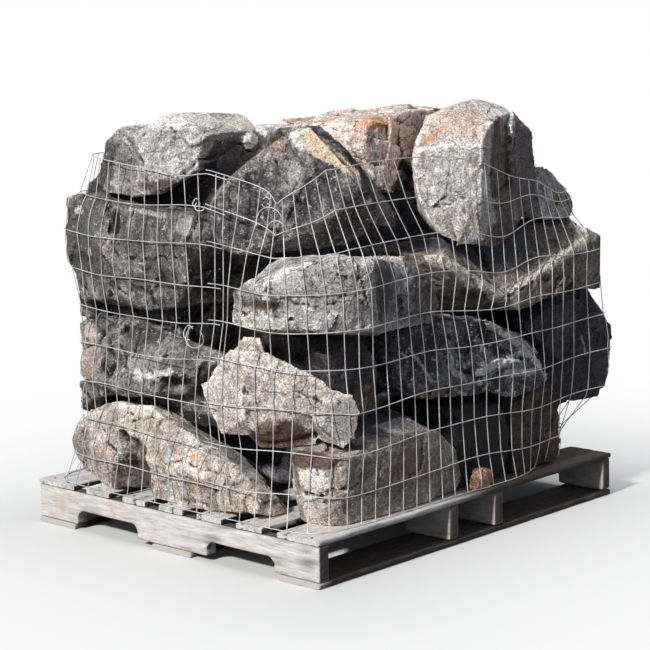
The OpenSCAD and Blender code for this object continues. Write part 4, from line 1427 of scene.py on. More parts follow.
            )),
        ),
        stains=(
            Stain((0.7, 0.22, 0.5), (60, 50, 50), "#6E5547", 0.7),
            # Painted sunlight on the right end, which faces away from the light.
            Stain((0.68, 0.32, 0.7), (50, 60, 130), "#FFEBDA", 1.3),
            Stain((0.5, 0.2, 0.05), (120, 80, 40), "#33271F"),
            Stain((0.2, 0.1, 0.85), (110, 80, 36), "#E0AC85", 0.8),
            Stain((0.55, 0.3, 0.95), (120, 80, 30), "#EFE3D6", 0.9),
        ),
    ),
    "top_boulder_2": Look(
        Stone(("#D0C6BF", "#EAE4DE", "#FBF8F5"), lichen=0.2, soil_and_shade="#5A4436"),
        Slot.ORANGE_STONE,
        stains=(Stain((0.4, 0.1, 0.8), (60, 50, 30), "#A08C55", 0.8),),
    ),
    "top_boulder_3": Look(GREY, Slot.GREY_STONE, voxel=10.0),
    "right_boulder_1": Look(GREY, Slot.GREY_STONE, voxel=9.0),
    "right_boulder_3": Look(TAN, Slot.TAN_STONE, voxel=9.0),
    "right_boulder_5": Look(DARK, Slot.GREY_STONE, voxel=9.0),
    "inner_boulder_1": Look(DARK, Slot.GREY_STONE, voxel=14.0),
    "inner_boulder_3": Look(DARK, Slot.GREY_STONE, voxel=14.0),
    "middle_boulder_2": Look(GREY, Slot.GREY_STONE, voxel=14.0),
    "back_boulder_1": Look(GREY, Slot.GREY_STONE, voxel=9.0),
    "back_boulder_2": Look(TAN, Slot.TAN_STONE, voxel=9.0),
    "back_boulder_3": Look(DARK, Slot.GREY_STONE, voxel=9.0),
    "back_boulder_4": Look(GREY, Slot.GREY_STONE, voxel=9.0),
    "back_boulder_5": Look(TAN, Slot.TAN_STONE, voxel=9.0),
    "back_boulder_6": Look(GREY, Slot.GREY_STONE, voxel=9.0),
    "back_boulder_7": Look(DARK, Slot.GREY_STONE, voxel=9.0),
    "back_boulder_8": Look(
        Stone(("#A58B7B", "#CBB09E", "#E6D3C5"), lichen=0.1), Slot.ORANGE_STONE, voxel=9.0
    ),
}


@dataclass
class BoulderPile:
    """The boulders: each starts as the model's own block and gets broken edges and rough faces."""

    looks: dict[str, Look]
    deck_top: float
    crease: float = 34.0
    blunt: float = 0.3
    smoothing: tuple[tuple[int, float], ...] = ((6, 1.6), (18, 3.5))
    pieces: dict[str, Object] = field(default_factory=dict)

    def build(self) -> None:
        """Makes every boulder."""
        relief = ReliefTree()
        for seed, (node, look) in enumerate(self.looks.items()):
            self.pieces[node] = self._boulder(node, look, seed, relief)

    def _boulder(self, node: str, look: Look, seed: int, relief: ReliefTree) -> Object:
        """Makes one boulder.

        Args:
            node: The model's node that it stands for.
            look: How it looks.
            seed: Picks its chips and its relief.
            relief: The tree that roughens it.

        Returns:
            The boulder.
        """
        box = Box.around(node)
        piece = show(f"{node}_stone", self._chipped_block(node, look, seed))
        self._break_blocks(piece, look, box)
        remesh(piece, look.voxel * MM)
        if look.strokes:
            self._stroke(piece, look.strokes, box)
            remesh(piece, look.voxel * MM)
        stone = look.stone.material(f"weathered stone {node}")
        relief.apply_to(piece, look.relief, seed, stone)
        self._stroke(piece, look.cracks, box)
        points = places(piece.data)
        points[:, 2] = np.maximum(points[:, 2], self.deck_top)
        move_to(piece.data, points)
        self._paint(piece.data, look, box)
        piece.data.shade_smooth()
        piece.data.set_sharp_from_angle(angle=math.radians(self.crease))
        dress(piece, stone, look.slot, node)
        return piece

    def _chipped_block(self, node: str, look: Look, seed: int) -> Mesh:
        """Copies a boulder's block and breaks small pieces off its edges.

        Args:
            node: The model's node.
            look: How many chips it has, and how deep they are.
            seed: Picks their places.

        Returns:
            The chipped block.
        """
        rng = np.random.default_rng(seed)
        block = welded(node)
        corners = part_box(node)
        for slab in (cut for cut in look.cuts if isinstance(cut, Slice)):
            spot = [a + (b - a) * share for a, b, share in zip(*corners, slab.at)]
            self._split(block, Vector(spot), Vector(slab.way).normalized())
        for _ in range(look.chips):
            edges = [
                e for e in block.edges if len(e.link_faces) == 2 and e.calc_face_angle(0.0) > self.blunt
            ]
            edge = edges[rng.integers(len(edges))]
            way = edge.link_faces[0].normal + edge.link_faces[1].normal
            way = (way.normalized() + Vector(rng.normal(0, 0.3, 3))).normalized()
            reach = max(v.co.dot(way) for v in block.verts)
            self._split(block, way * (reach - look.chip_depth * MM * rng.uniform(0.4, 1.0)), way)
        bmesh.ops.recalc_face_normals(block, faces=block.faces)
        return as_mesh(block, f"{node}_stone")

    def _split(self, block: bmesh.types.BMesh, spot: Vector, way: Vector) -> None:
        """Takes off what lies beyond a plane, and closes the cut.

        Args:
            block: The block.
            spot: A point on the plane.
            way: The way out of the block.
        """
        everything = block.verts[:] + block.edges[:] + block.faces[:]
        cut = bmesh.ops.bisect_plane(
            block, geom=everything, plane_co=spot, plane_no=way, clear_outer=True
        )
        rim = [e for e in cut["geom_cut"] if isinstance(e, bmesh.types.BMEdge)]
        bmesh.ops.edgeloop_fill(block, edges=rim)

    def _break_blocks(self, piece: Object, look: Look, box: Box) -> None:
        """Breaks blocks out of a boulder, and adds the blocks that stand proud of it.

        Args:
            piece: The boulder.
            look: Its blocks.
            box: Its box.
        """
        for block in (cut for cut in look.cuts if not isinstance(cut, Slice)):
            tool = show("block", block.mesh(box))
            join = piece.modifiers.new("block", "BOOLEAN")
            join.operation = "UNION" if block.proud else "DIFFERENCE"
            join.object = tool
            join.solver = "EXACT"
            settle(piece)
            bpy.data.objects.remove(tool)

    def _stroke(self, piece: Object, strokes: Sequence[Dent | Cleft], box: Box) -> None:
        """Applies dents or cracks to a boulder.

        Args:
            piece: The boulder.
            strokes: The dents or cracks.
            box: Its box.
        """
        for stroke in strokes:
            points, normals = places(piece.data), places(piece.data, "normal")
            stroke.apply(points, normals, box)
            move_to(piece.data, points)

    def _paint(self, mesh: Mesh, look: Look, box: Box) -> None:
        """Stores where a boulder is worn, where it gets soil and painted shade, and where it is stained.

        What stands above a smoothed copy of the stone is worn and lighter; what lies below it is
        darker, with soil and painted shade.

        Args:
            mesh: The boulder's mesh.
            look: Its stains.
            box: Its box.
        """
        points, normals = places(mesh), places(mesh, "normal")
        ends = np.empty(len(mesh.edges) * 2, np.int32)
        mesh.edges.foreach_get("vertices", ends)
        ends = ends.reshape(-1, 2)
        count = len(points)
        degree = np.bincount(ends.ravel(), minlength=count)[:, None]
        smooth = points.copy()
        rise = np.zeros(count)
        for rounds, usual_mm in self.smoothing:
            for _ in range(rounds):
                total = np.stack(
                    [np.bincount(ends[:, 0], smooth[ends[:, 1], i], count)
                     + np.bincount(ends[:, 1], smooth[ends[:, 0], i], count) for i in range(3)],
                    axis=1,
                )
                smooth = 0.5 * smooth + 0.5 * total / degree
            rise += 0.5 * (((points - smooth) * normals).sum(axis=1) / MM) / usual_mm
        # Above one half: bare, worn stone that stands proud; below it: painted shade in what lies low.
        store(mesh, "worn", np.clip(0.5 + 0.5 * rise, 0, 1))
        # What lies below the smoothed copy gets soil and painted shade.
        store(mesh, "hollow", np.clip(-rise - 0.1, 0, 1))
        tint = np.zeros((count, 4))
        for stain in look.stains:
            amount = stain.amount(points, box)
            stronger = amount > tint[:, 3]
            tint[stronger, :3] = linear(stain.colour)[:3]
            tint[:, 3] = np.maximum(tint[:, 3], amount)
        colours = mesh.attributes.new("stain", "FLOAT_COLOR", "POINT")
        colours.data.foreach_set("color", tint.astype(np.float32).ravel())


# ---- the wire mesh ----


@dataclass(frozen=True)
class ZincWire:
    """Galvanised steel wire, drawn and then hot dipped.

    The zinc has dulled outdoors to a soft grey with darker and chalky stretches, so it takes
    a broad, weak highlight.
    """

    bright: str = "#E0E2E3"
    dull: str = "#ADAFAF"

    def material(self) -> Material:
        """Builds the wire's material.

        Returns:
            The material.
        """
        material, tree, place = blank("weathered galvanised wire")
        patches = add(
            tree, "ShaderNodeTexNoise", {"Vector": place, "Scale": 1 / (35 * MM), "Detail": 6.0}
        )
        share = add(tree, "ShaderNodeMapRange", {"Value": patches, "From Min": 0.35, "From Max": 0.65})
        tone = add(
            tree, "ShaderNodeMix", {0: share, 6: linear(self.dull), 7: linear(self.bright)},
            data_type="RGBA",
        )
        rough = add(tree, "ShaderNodeMapRange", {"Value": patches, "To Min": 0.7, "To Max": 0.4})
        shader = add(
            tree, "ShaderNodeBsdfPrincipled",
            {"Base Color": tone.outputs[2], "Metallic": 0.35, "Roughness": rough},
        )
        add(tree, "ShaderNodeOutputMaterial", {"Surface": shader})
        return material


class WireTree:
    """Geometry nodes that turn a net of straight edges into round wire."""

    def __init__(self) -> None:
        """Builds the tree, with the wire's radius and finish as its inputs."""
        self.tree = open_group("round wire")
        self.radius, self.finish = (
            self.tree.interface.new_socket(name, in_out="INPUT", socket_type=kind).identifier
            for name, kind in (("Radius", "NodeSocketFloat"), ("Finish", "NodeSocketMaterial"))
        )
        given = add(self.tree, "NodeGroupInput").outputs
        route = add(self.tree, "GeometryNodeMeshToCurve", {"Mesh": given["Geometry"]})
        section = add(
            self.tree, "GeometryNodeCurvePrimitiveCircle", {"Resolution": 6, "Radius": given["Radius"]}
        )
        wire = add(
            self.tree, "GeometryNodeCurveToMesh",
            {"Curve": route, "Profile Curve": section, "Fill Caps": True},
        )
        close_group(self.tree, wire, given["Finish"])

    def apply_to(self, piece: Object, radius: float, finish: Material) -> None:
        """Turns a piece's edges into wire as plain mesh.

        Args:
            piece: The piece.
            radius: The wire's radius in metres.
            finish: The wire's material.
        """
        modifier = piece.modifiers.new("wire", "NODES")
        modifier.node_group = self.tree
        modifier[self.radius] = radius
        modifier[self.finish] = finish
        settle(piece)


@dataclass(frozen=True)
class Pull:
    """A place where the mesh was pulled off its even lattice, in millimetres.

    Along runs round the load, to the right from the middle of its front left corner. The
    height is above the ground.
    """

    along: float
    height: float
    reach: tuple[float, float]
    lift: float = 0.0
    slide: float = 0.0
    taut: bool = False

    def share(self, along: np.ndarray, height: np.ndarray, around: float) -> np.ndarray:
        """How much of the pull each place feels, from 0 to 1. A taut one fades in a straight line.

        Args:
            along: Places along the wrap.
            height: Their heights.
            around: Length of the wrap once round the load.

        Returns:
            The share that each place feels.
        """
        off = ((along - self.along + around / 2) % around - around / 2) / self.reach[0]
        up = (height - self.height) / self.reach[1]
        fade = np.clip(1 - np.abs(off), 0, 1) if self.taut else np.exp(-(off**2))
        return fade * np.exp(-(up**2))


@dataclass(frozen=True)
class Curl:
    """A loose curl of wire, in millimetres and degrees: its middle, its radius and its arc."""

    along: float
    height: float
    radius: float
    start: float
    sweep: float


PULLS = (
    Pull(-200, 1000, (100, 200), slide=75),
    Pull(330, 1000, (330, 200), slide=-150),
    Pull(-90, 965, (240, 145), lift=-88, taut=True),
    Pull(-430, 980, (110, 50), lift=-26),
    Pull(760, 800, (110, 220), lift=-32),
    Pull(860, 980, (120, 60), lift=-30),
    Pull(1130, 985, (230, 70), lift=-125),
    Pull(1130, 885, (230, 45), lift=-35),
    Pull(-340, 540, (130, 70), lift=25),
    Pull(450, 680, (220, 500), lift=13),
    Pull(-560, 640, (260, 75), slide=32),
    Pull(-560, 420, (260, 60), slide=-12),
    Pull(700, 600, (300, 90), slide=-40),
)


CURLS = (
    Curl(-352, 566, 27, 100, 300),
    Curl(-372, 575, 18, 40, 230),
    Curl(-92, 870, 34, -20, 215),
    Curl(-74, 846, 26, 10, 180),
    Curl(-100, 915, 12, 200, 300),
    Curl(-338, 900, 10, 60, 330),
    Curl(-326, 893, 13, 150, 200),
)


@dataclass
class WireWrap:
    """The welded mesh: line wires run round the load, and uprights are welded across them.

    The mesh is stretched: each wire runs straight until a stone holds it off. Sizes are in
    millimetres.
    """

    stones: Sequence[Object]
    deck: tuple[Vector, Vector]
    wire: float = 2.5
    pitch: float = 51.0
    seam: float = -310.0
    overlap: float = 26.0
    heights: tuple[float, ...] = (1, 76, 177, 279, 379, 474, 572, 672, 767, 864)
    half: tuple[float, float] = (603.0, 478.0)
    turn: float = 150.0
    foot: tuple[float, float] = (601.0, 492.0)
    tuck: float = 110.0
    bay_steps: int = 4
    gap_steps: int = 6
    rounds: int = 1800
    clearance: float = 2.2
    press: float = 0.04
    slack: float = 40.0
    sway: float = 7.0
    sway_over: float = 260.0
    sag: float = 6.0
    sag_over: float = 300.0
    tuck_turn: float = -0.7
    tuck_width: float = 0.28

    def build(self) -> None:
        """Makes the mesh as one piece."""
        self._skin = self._stone_tree()
        self._finish = ZincWire().material()
        points, edges = [], []
        for route in self._wires() + self._loose_ends():
            first = sum(len(part) for part in points)
            points.append(route)
            edges += [(first + i, first + i + 1) for i in range(len(route) - 1)]
        mesh = bpy.data.meshes.new("wire_mesh")
        mesh.from_pydata(np.concatenate(points).tolist(), edges, [])
        piece = show("wire_mesh", mesh)
        WireTree().apply_to(piece, self.wire / 2 * MM, self._finish)
        piece.data.shade_smooth()
        dress(piece, self._finish, Slot.WIRE, "mesh_front", "mesh_right", "mesh_back", "mesh_left")

    def _stone_tree(self) -> BVHTree:
        """Gathers all the stones in one tree for ray casts.

        Returns:
            The tree.
        """
        points, faces = [], []
        for stone in self.stones:
            first = len(points)
            points += places(stone.data).tolist()
            faces += [[first + i for i in face.vertices] for face in stone.data.polygons]
        return BVHTree.FromPolygons(points, faces)

    def _outline(self, along: np.ndarray) -> list[np.ndarray]:
        """Finds places along the wrap on the load's plain outline.

        Args:
            along: The places.

        Returns:
            Their x and their y, in millimetres.
        """
        turns = np.radians(np.arange(225, 586, 3))
        ways = np.stack([np.cos(turns), np.sin(turns)], axis=1)
        flats = np.array(self.half) - self.turn
        outline = np.sign(ways) * flats + ways * self.turn
        steps = np.linalg.norm(np.diff(outline, axis=0), axis=1)
        length = np.concatenate([[0], np.cumsum(steps)])
        return [np.interp(along % length[-1], length, outline[:, i]) for i in range(2)]

    def _angle(self, along: np.ndarray) -> np.ndarray:
        """Direction from the load's middle of places along the wrap."""
        spot = self._outline(along)
        return np.arctan2(spot[1], spot[0])

    def _round(self) -> float:
        """Length of the wrap once round the load."""
        return 4 * (sum(self.half) - 2 * self.turn) + math.tau * self.turn

    def _reach(self, angle: np.ndarray, height: np.ndarray) -> np.ndarray:
        """Measures how far out the stones reach.

        Args:
            angle: Directions from the middle.
            height: Heights in millimetres.

        Returns:
            The distances in millimetres, zero where there is no stone.
        """
        found = np.zeros(angle.shape)
        for spot, (turn, up) in enumerate(zip(angle.flat, height.flat)):
            way = Vector((math.cos(turn), math.sin(turn), 0))
            start = way * 1.2
            start.z = up * MM
            hit = self._skin.ray_cast(start, -way, 1.2)[0]
            if hit is not None:
                found.flat[spot] = math.hypot(hit.x, hit.y) / MM
        return found

    def _lattice(self, along: np.ndarray, row: np.ndarray) -> tuple[np.ndarray, np.ndarray]:
        """Places of the lattice after the pulls.

        Args:
            along: Even places along the wrap.
            row: Numbers of the line wires, which may lie between two wires.

        Returns:
            The places along the wrap, and the heights above the ground.
        """
        ground = self.deck[1].z / MM
        height = ground + np.interp(row, range(len(self.heights)), self.heights)
        slide, lift = np.zeros(along.shape), np.zeros(along.shape)
        for pull in PULLS:
            share = pull.share(along, height, self._round())
            slide += pull.slide * share
            lift += pull.lift * share
        spots = np.stack([*self._outline(along), height], axis=-1).reshape(-1, 3)
        loose = np.minimum(row, 1)
        slide += self.sway * wander(spots, self.sway_over, 71).reshape(along.shape)
        lift += loose * self.sag * wander(spots, self.sag_over, 72).reshape(along.shape)
        return along + slide, np.maximum(height + lift, ground + self.wire / 2)

    def _wires(self) -> list[np.ndarray]:
        """Routes all the line wires and uprights.

        Returns:
            The routes, in metres.
        """
        bays = round(self._round() / self.pitch)
        count = bays * self.bay_steps
        along = self.seam + np.arange(count) * self._round() / count
        rows = np.arange(len(self.heights), dtype=float)
        line_along, line_up = self._lattice(*np.meshgrid(along, rows))
        post_rows = np.linspace(0, rows[-1], (len(rows) - 1) * self.gap_steps + 1)
        post_along, post_up = self._straight(line_along, line_up, post_rows)
        line_turn, post_turn = self._angle(line_along), self._angle(post_along)
        line_least = self._least(line_turn, line_up)
        post_least = self._least(post_turn.T, post_up.T).T
        line, post = self._stretch(line_turn, line_least, post_least, self._foot(line_turn[0]))
        extra = 1 + int(self.overlap / self.pitch * self.bay_steps)
        routes = []
        for k in range(len(rows)):
            lap = np.arange(-2, count + extra) % count
            apart = np.linspace(-1, 1, len(lap)) ** 9
            out = line[k][lap] + 0.7 * self.wire + 3 * np.clip(apart, 0, 1)
            up = line_up[k][lap] - 5 * apart * min(k, 1)
            routes.append(self._route(line_turn[k][lap], out, up))
        for j in range(bays):
            routes.append(self._route(post_turn[:, j], post[:, j], post_up[:, j]))
        last = post_turn[:, 0] + self.overlap / max(self.half)
        routes.append(self._route(last, post[:, 0] + 4, post_up[:, 0]))
        return routes

    def _straight(
        self, along: np.ndarray, up: np.ndarray, rows: np.ndarray,
    ) -> tuple[np.ndarray, np.ndarray]:
        """Places of the uprights, straight between the line wires.

        Args:
            along: Places of the line wires' points along the wrap.
            up: Their heights.
            rows: The uprights' own rows.

        Returns:
            The places along the wrap, and the heights.
        """
        known = np.arange(len(up))
        parts = []
        for values in (along[:, :: self.bay_steps], up[:, :: self.bay_steps]):
            parts.append(np.stack([np.interp(rows, known, column) for column in values.T], axis=1))
        return parts[0], parts[1]

    def _least(self, turn: np.ndarray, up: np.ndarray) -> np.ndarray:
        """Least distance out of each point of some wires, so that their straight parts clear the stones.

        Args:
            turn: Directions of the points, one row for each wire.
            up: Their heights.

        Returns:
            The distances in millimetres.
        """
        following = np.roll(turn, -1, axis=1)
        half = turn + 0.5 * np.angle(np.exp(1j * (following - turn)))
        half_up = 0.5 * (up + np.roll(up, -1, axis=1))
        here, between = self._reach(turn, up), self._reach(half, half_up)
        between[:, -1] = np.where(np.abs(up[:, -1] - up[:, 0]) > 200, 0, between[:, -1])
        before = np.roll(between, 1, axis=1)
        return np.maximum(here, 0.5 * (here + np.maximum(between, before))) + self.clearance

    def _foot(self, turn: np.ndarray) -> np.ndarray:
        """Places the lowest wire, which lies near the deck's edge and is tucked in at a corner.

        Args:
            turn: Directions of the wire's points.

        Returns:
            Their distances out in millimetres.
        """
        across = self.foot[0] / np.maximum(np.abs(np.cos(turn)), 1e-6)
        deep = self.foot[1] / np.maximum(np.abs(np.sin(turn)), 1e-6)
        tucked = self.tuck * np.exp(-(((turn - self.tuck_turn) / self.tuck_width) ** 2))
        return 1 / (across**-10 + deep**-10) ** 0.1 - tucked

    def _stretch(
        self, turn: np.ndarray, line_least: np.ndarray, post_least: np.ndarray, foot: np.ndarray
    ) -> tuple[np.ndarray, np.ndarray]:
        """Stretches the mesh over the stones.

        Each point moves towards the straight line between its neighbours, and no nearer to the
        middle than the stones let it.

        Args:
            turn: Directions of the line wires' points.
            line_least: Least distance out of those points.
            post_least: Least distance out of the uprights' points.
            foot: Distance out of the lowest wire.

        Returns:
            Distances out of the line wires' points and of the uprights' points.
        """
        ahead = np.sin(np.angle(np.exp(1j * (np.roll(turn, -1, axis=1) - turn))))
        behind = np.roll(ahead, 1, axis=1)
        wide = np.sin(np.arcsin(ahead) + np.arcsin(behind))
        line = np.maximum(line_least, line_least.max(axis=0) - self.slack)
        post = post_least.copy()
        steps, gaps = self.bay_steps, self.gap_steps
        for _ in range(self.rounds):
            after, before = np.roll(line, -1, axis=1), np.roll(line, 1, axis=1)
            line = after * before * wide / (before * behind + after * ahead) - self.press
            post[1:-1] = 0.5 * (post[2:] + post[:-2])
            post[-1] = post[-2]
            line[:, ::steps] = 0.7 * line[:, ::steps] + 0.3 * post[::gaps]
            line = np.maximum(line, line_least)
            line[0] = np.maximum(foot, line_least[0])
            post[::gaps] = line[:, ::steps]
            post = np.maximum(post, post_least)
            line[:, ::steps] = np.maximum(line[:, ::steps], post[::gaps])
        return line, post

    def _route(self, turn: np.ndarray, out: np.ndarray, up: np.ndarray) -> np.ndarray:
        """Turns directions, distances and heights into places, in metres."""
        return np.stack([out * np.cos(turn), out * np.sin(turn), up], axis=1) * MM

    def _loose_ends(self) -> list[np.ndarray]:
        """Routes the loose curls of wire at the seam and at the pinch.

        Returns:
            The routes, in metres.
        """
        routes = []
        for curl in CURLS:
            arc = np.radians(np.linspace(curl.start, curl.start + curl.sweep, 18))
            spots = curl.along + curl.radius * np.cos(arc)
            turn = self._angle(spots)
            height = curl.height + curl.radius * np.sin(arc)
            skin = np.maximum(self._reach(turn, height), np.hypot(*self._outline(spots)) - 12)
            out = skin.max() + 6 + 4 * np.sin(2 * arc)
            routes.append(self._route(turn, out, height))
        return routes


# ---- the pallet ----


@dataclass(frozen=True)
class Softwood:
    """Sawn softwood left outdoors.

    Sun and rain turn its faces silver grey and open the grain in fine dark lines. Knots and rust
    under the nails stay brown. Splits, gaps and faces turned from the light get dirt and painted shade.
    """

    tones: tuple[str, str, str]
    grain_way: Point
    blotch: str = "#C79C86"
    blotch_share: float = 0.35
    # Colour of the open grain lines, and of dirt and painted shade where the piece marks them.
    dirt_and_shade_tone: str = "#4A3F38"
    ring_mm: float = 7.0
    end_tone: str = "#D9D1CB"

    def material(self, name: str) -> Material:
        """Builds the wood's material.

        Args:
            name: The material's name.

        Returns:
            The material.
        """
        material, tree, place = blank(name)
        squeeze = tuple(0.12 if part else 1.0 for part in self.grain_way)
        along = add(tree, "ShaderNodeVectorMath", {0: place, 1: squeeze}, operation="MULTIPLY")
        rings = add(
            tree,
            "ShaderNodeTexNoise",
            {"Vector": along, "Scale": 1 / (self.ring_mm * MM), "Detail": 6.0, "Roughness": 0.65,
             "Distortion": 0.8},
        )
        fibres = add(
            tree, "ShaderNodeTexNoise",
            {"Vector": along, "Scale": 1 / (2.5 * MM), "Detail": 4.0, "Roughness": 0.7},
        )
        patches = add(
            tree, "ShaderNodeTexNoise",
            {"Vector": place, "Scale": 1 / (90 * MM), "Detail": 7.0, "Roughness": 0.65},
        )
        layers = (
            (patches, 0.62 - 0.2 * self.blotch_share, 0.12, 0.75, linear(self.blotch)),
            (fibres, 0.36, -0.08, 0.55, linear(self.dirt_and_shade_tone)),
        )
        colour = lay_over(tree, three_tones(tree, rings, self.tones, (0.3, 0.46, 0.62)), layers)
        # Darkens what the piece marks with dirt and painted shade, and gives the ends that it marks pale
        # their own end tone.
        for name, tint in (("hollow", self.dirt_and_shade_tone), ("pale", self.end_tone)):
            share = add(tree, "ShaderNodeAttribute", attribute_name=name).outputs["Fac"]
            colour = add(
                tree, "ShaderNodeMix", {0: share, 6: colour, 7: linear(tint)}, data_type="RGBA"
            ).outputs[2]
        height = add(tree, "ShaderNodeMath", {0: fibres, 1: 0.6, 2: rings}, operation="MULTIPLY_ADD")
        bump = add(tree, "ShaderNodeBump", {"Strength": 0.6, "Distance": 2 * MM, "Height": height})
        shader = add(
            tree,
            "ShaderNodeBsdfPrincipled",
            {"Base Color": colour, "Roughness": 0.85, "IOR": 1.5, "Specular IOR Level": 0.3,
             "Normal": bump},
        )
        add(tree, "ShaderNodeOutputMaterial", {"Surface": shader})
        return material


@dataclass(frozen=True)
class RustySteel:
    """Steel nails whose heads have rusted to a dull brown with a little bare metal."""

    bare_tone: str = "#5E5650"
    rust_tone: str = "#4A2A1B"

    def material(self) -> Material:
        """Builds the nails' material.

        Returns:
            The material.
        """
        material, tree, place = blank("rusty nail steel")
        spots = add(tree, "ShaderNodeTexNoise", {"Vector": place, "Scale": 1 / (3 * MM), "Detail": 5.0})
        rust = add(tree, "ShaderNodeMapRange", {"Value": spots, "From Min": 0.35, "From Max": 0.6})
        tone = add(
            tree, "ShaderNodeMix", {0: rust, 6: linear(self.bare_tone), 7: linear(self.rust_tone)},
            data_type="RGBA",
        )
        bare = add(tree, "ShaderNodeMapRange", {"Value": rust, "To Min": 0.6, "To Max": 0.0})
        bump = add(tree, "ShaderNodeBump", {"Strength": 0.5, "Distance": 0.5 * MM, "Height": spots})
        shader = add(
            tree, "ShaderNodeBsdfPrincipled",
            {"Base Color": tone.outputs[2], "Metallic": bare, "Roughness": 0.7, "Normal": bump},
        )
        add(tree, "ShaderNodeOutputMaterial", {"Surface": shader})
        return material


STRINGER_WOOD = Softwood(("#BDB3AD", "#D9D1CB", "#ECE7E2"), (0, 1, 0), "#D8B7A6", 0.45)
# Its dark tone is both dirt and painted shade, dark enough for the shaded gaps and the front board's right
# end.
DECK_WOOD = Softwood(("#AEA8A4", "#D6D1CD", "#EDEAE7"), (1, 0, 0), "#B0A69D", 0.2, "#352D29")
# The bottom boards' wood, darkened well below its own tone as painted shade under the pallet.
SHADED_UNDER_WOOD = Softwood(("#211E1D", "#352F2D", "#524A46"), (1, 0, 0), "#3A302A", 0.4)


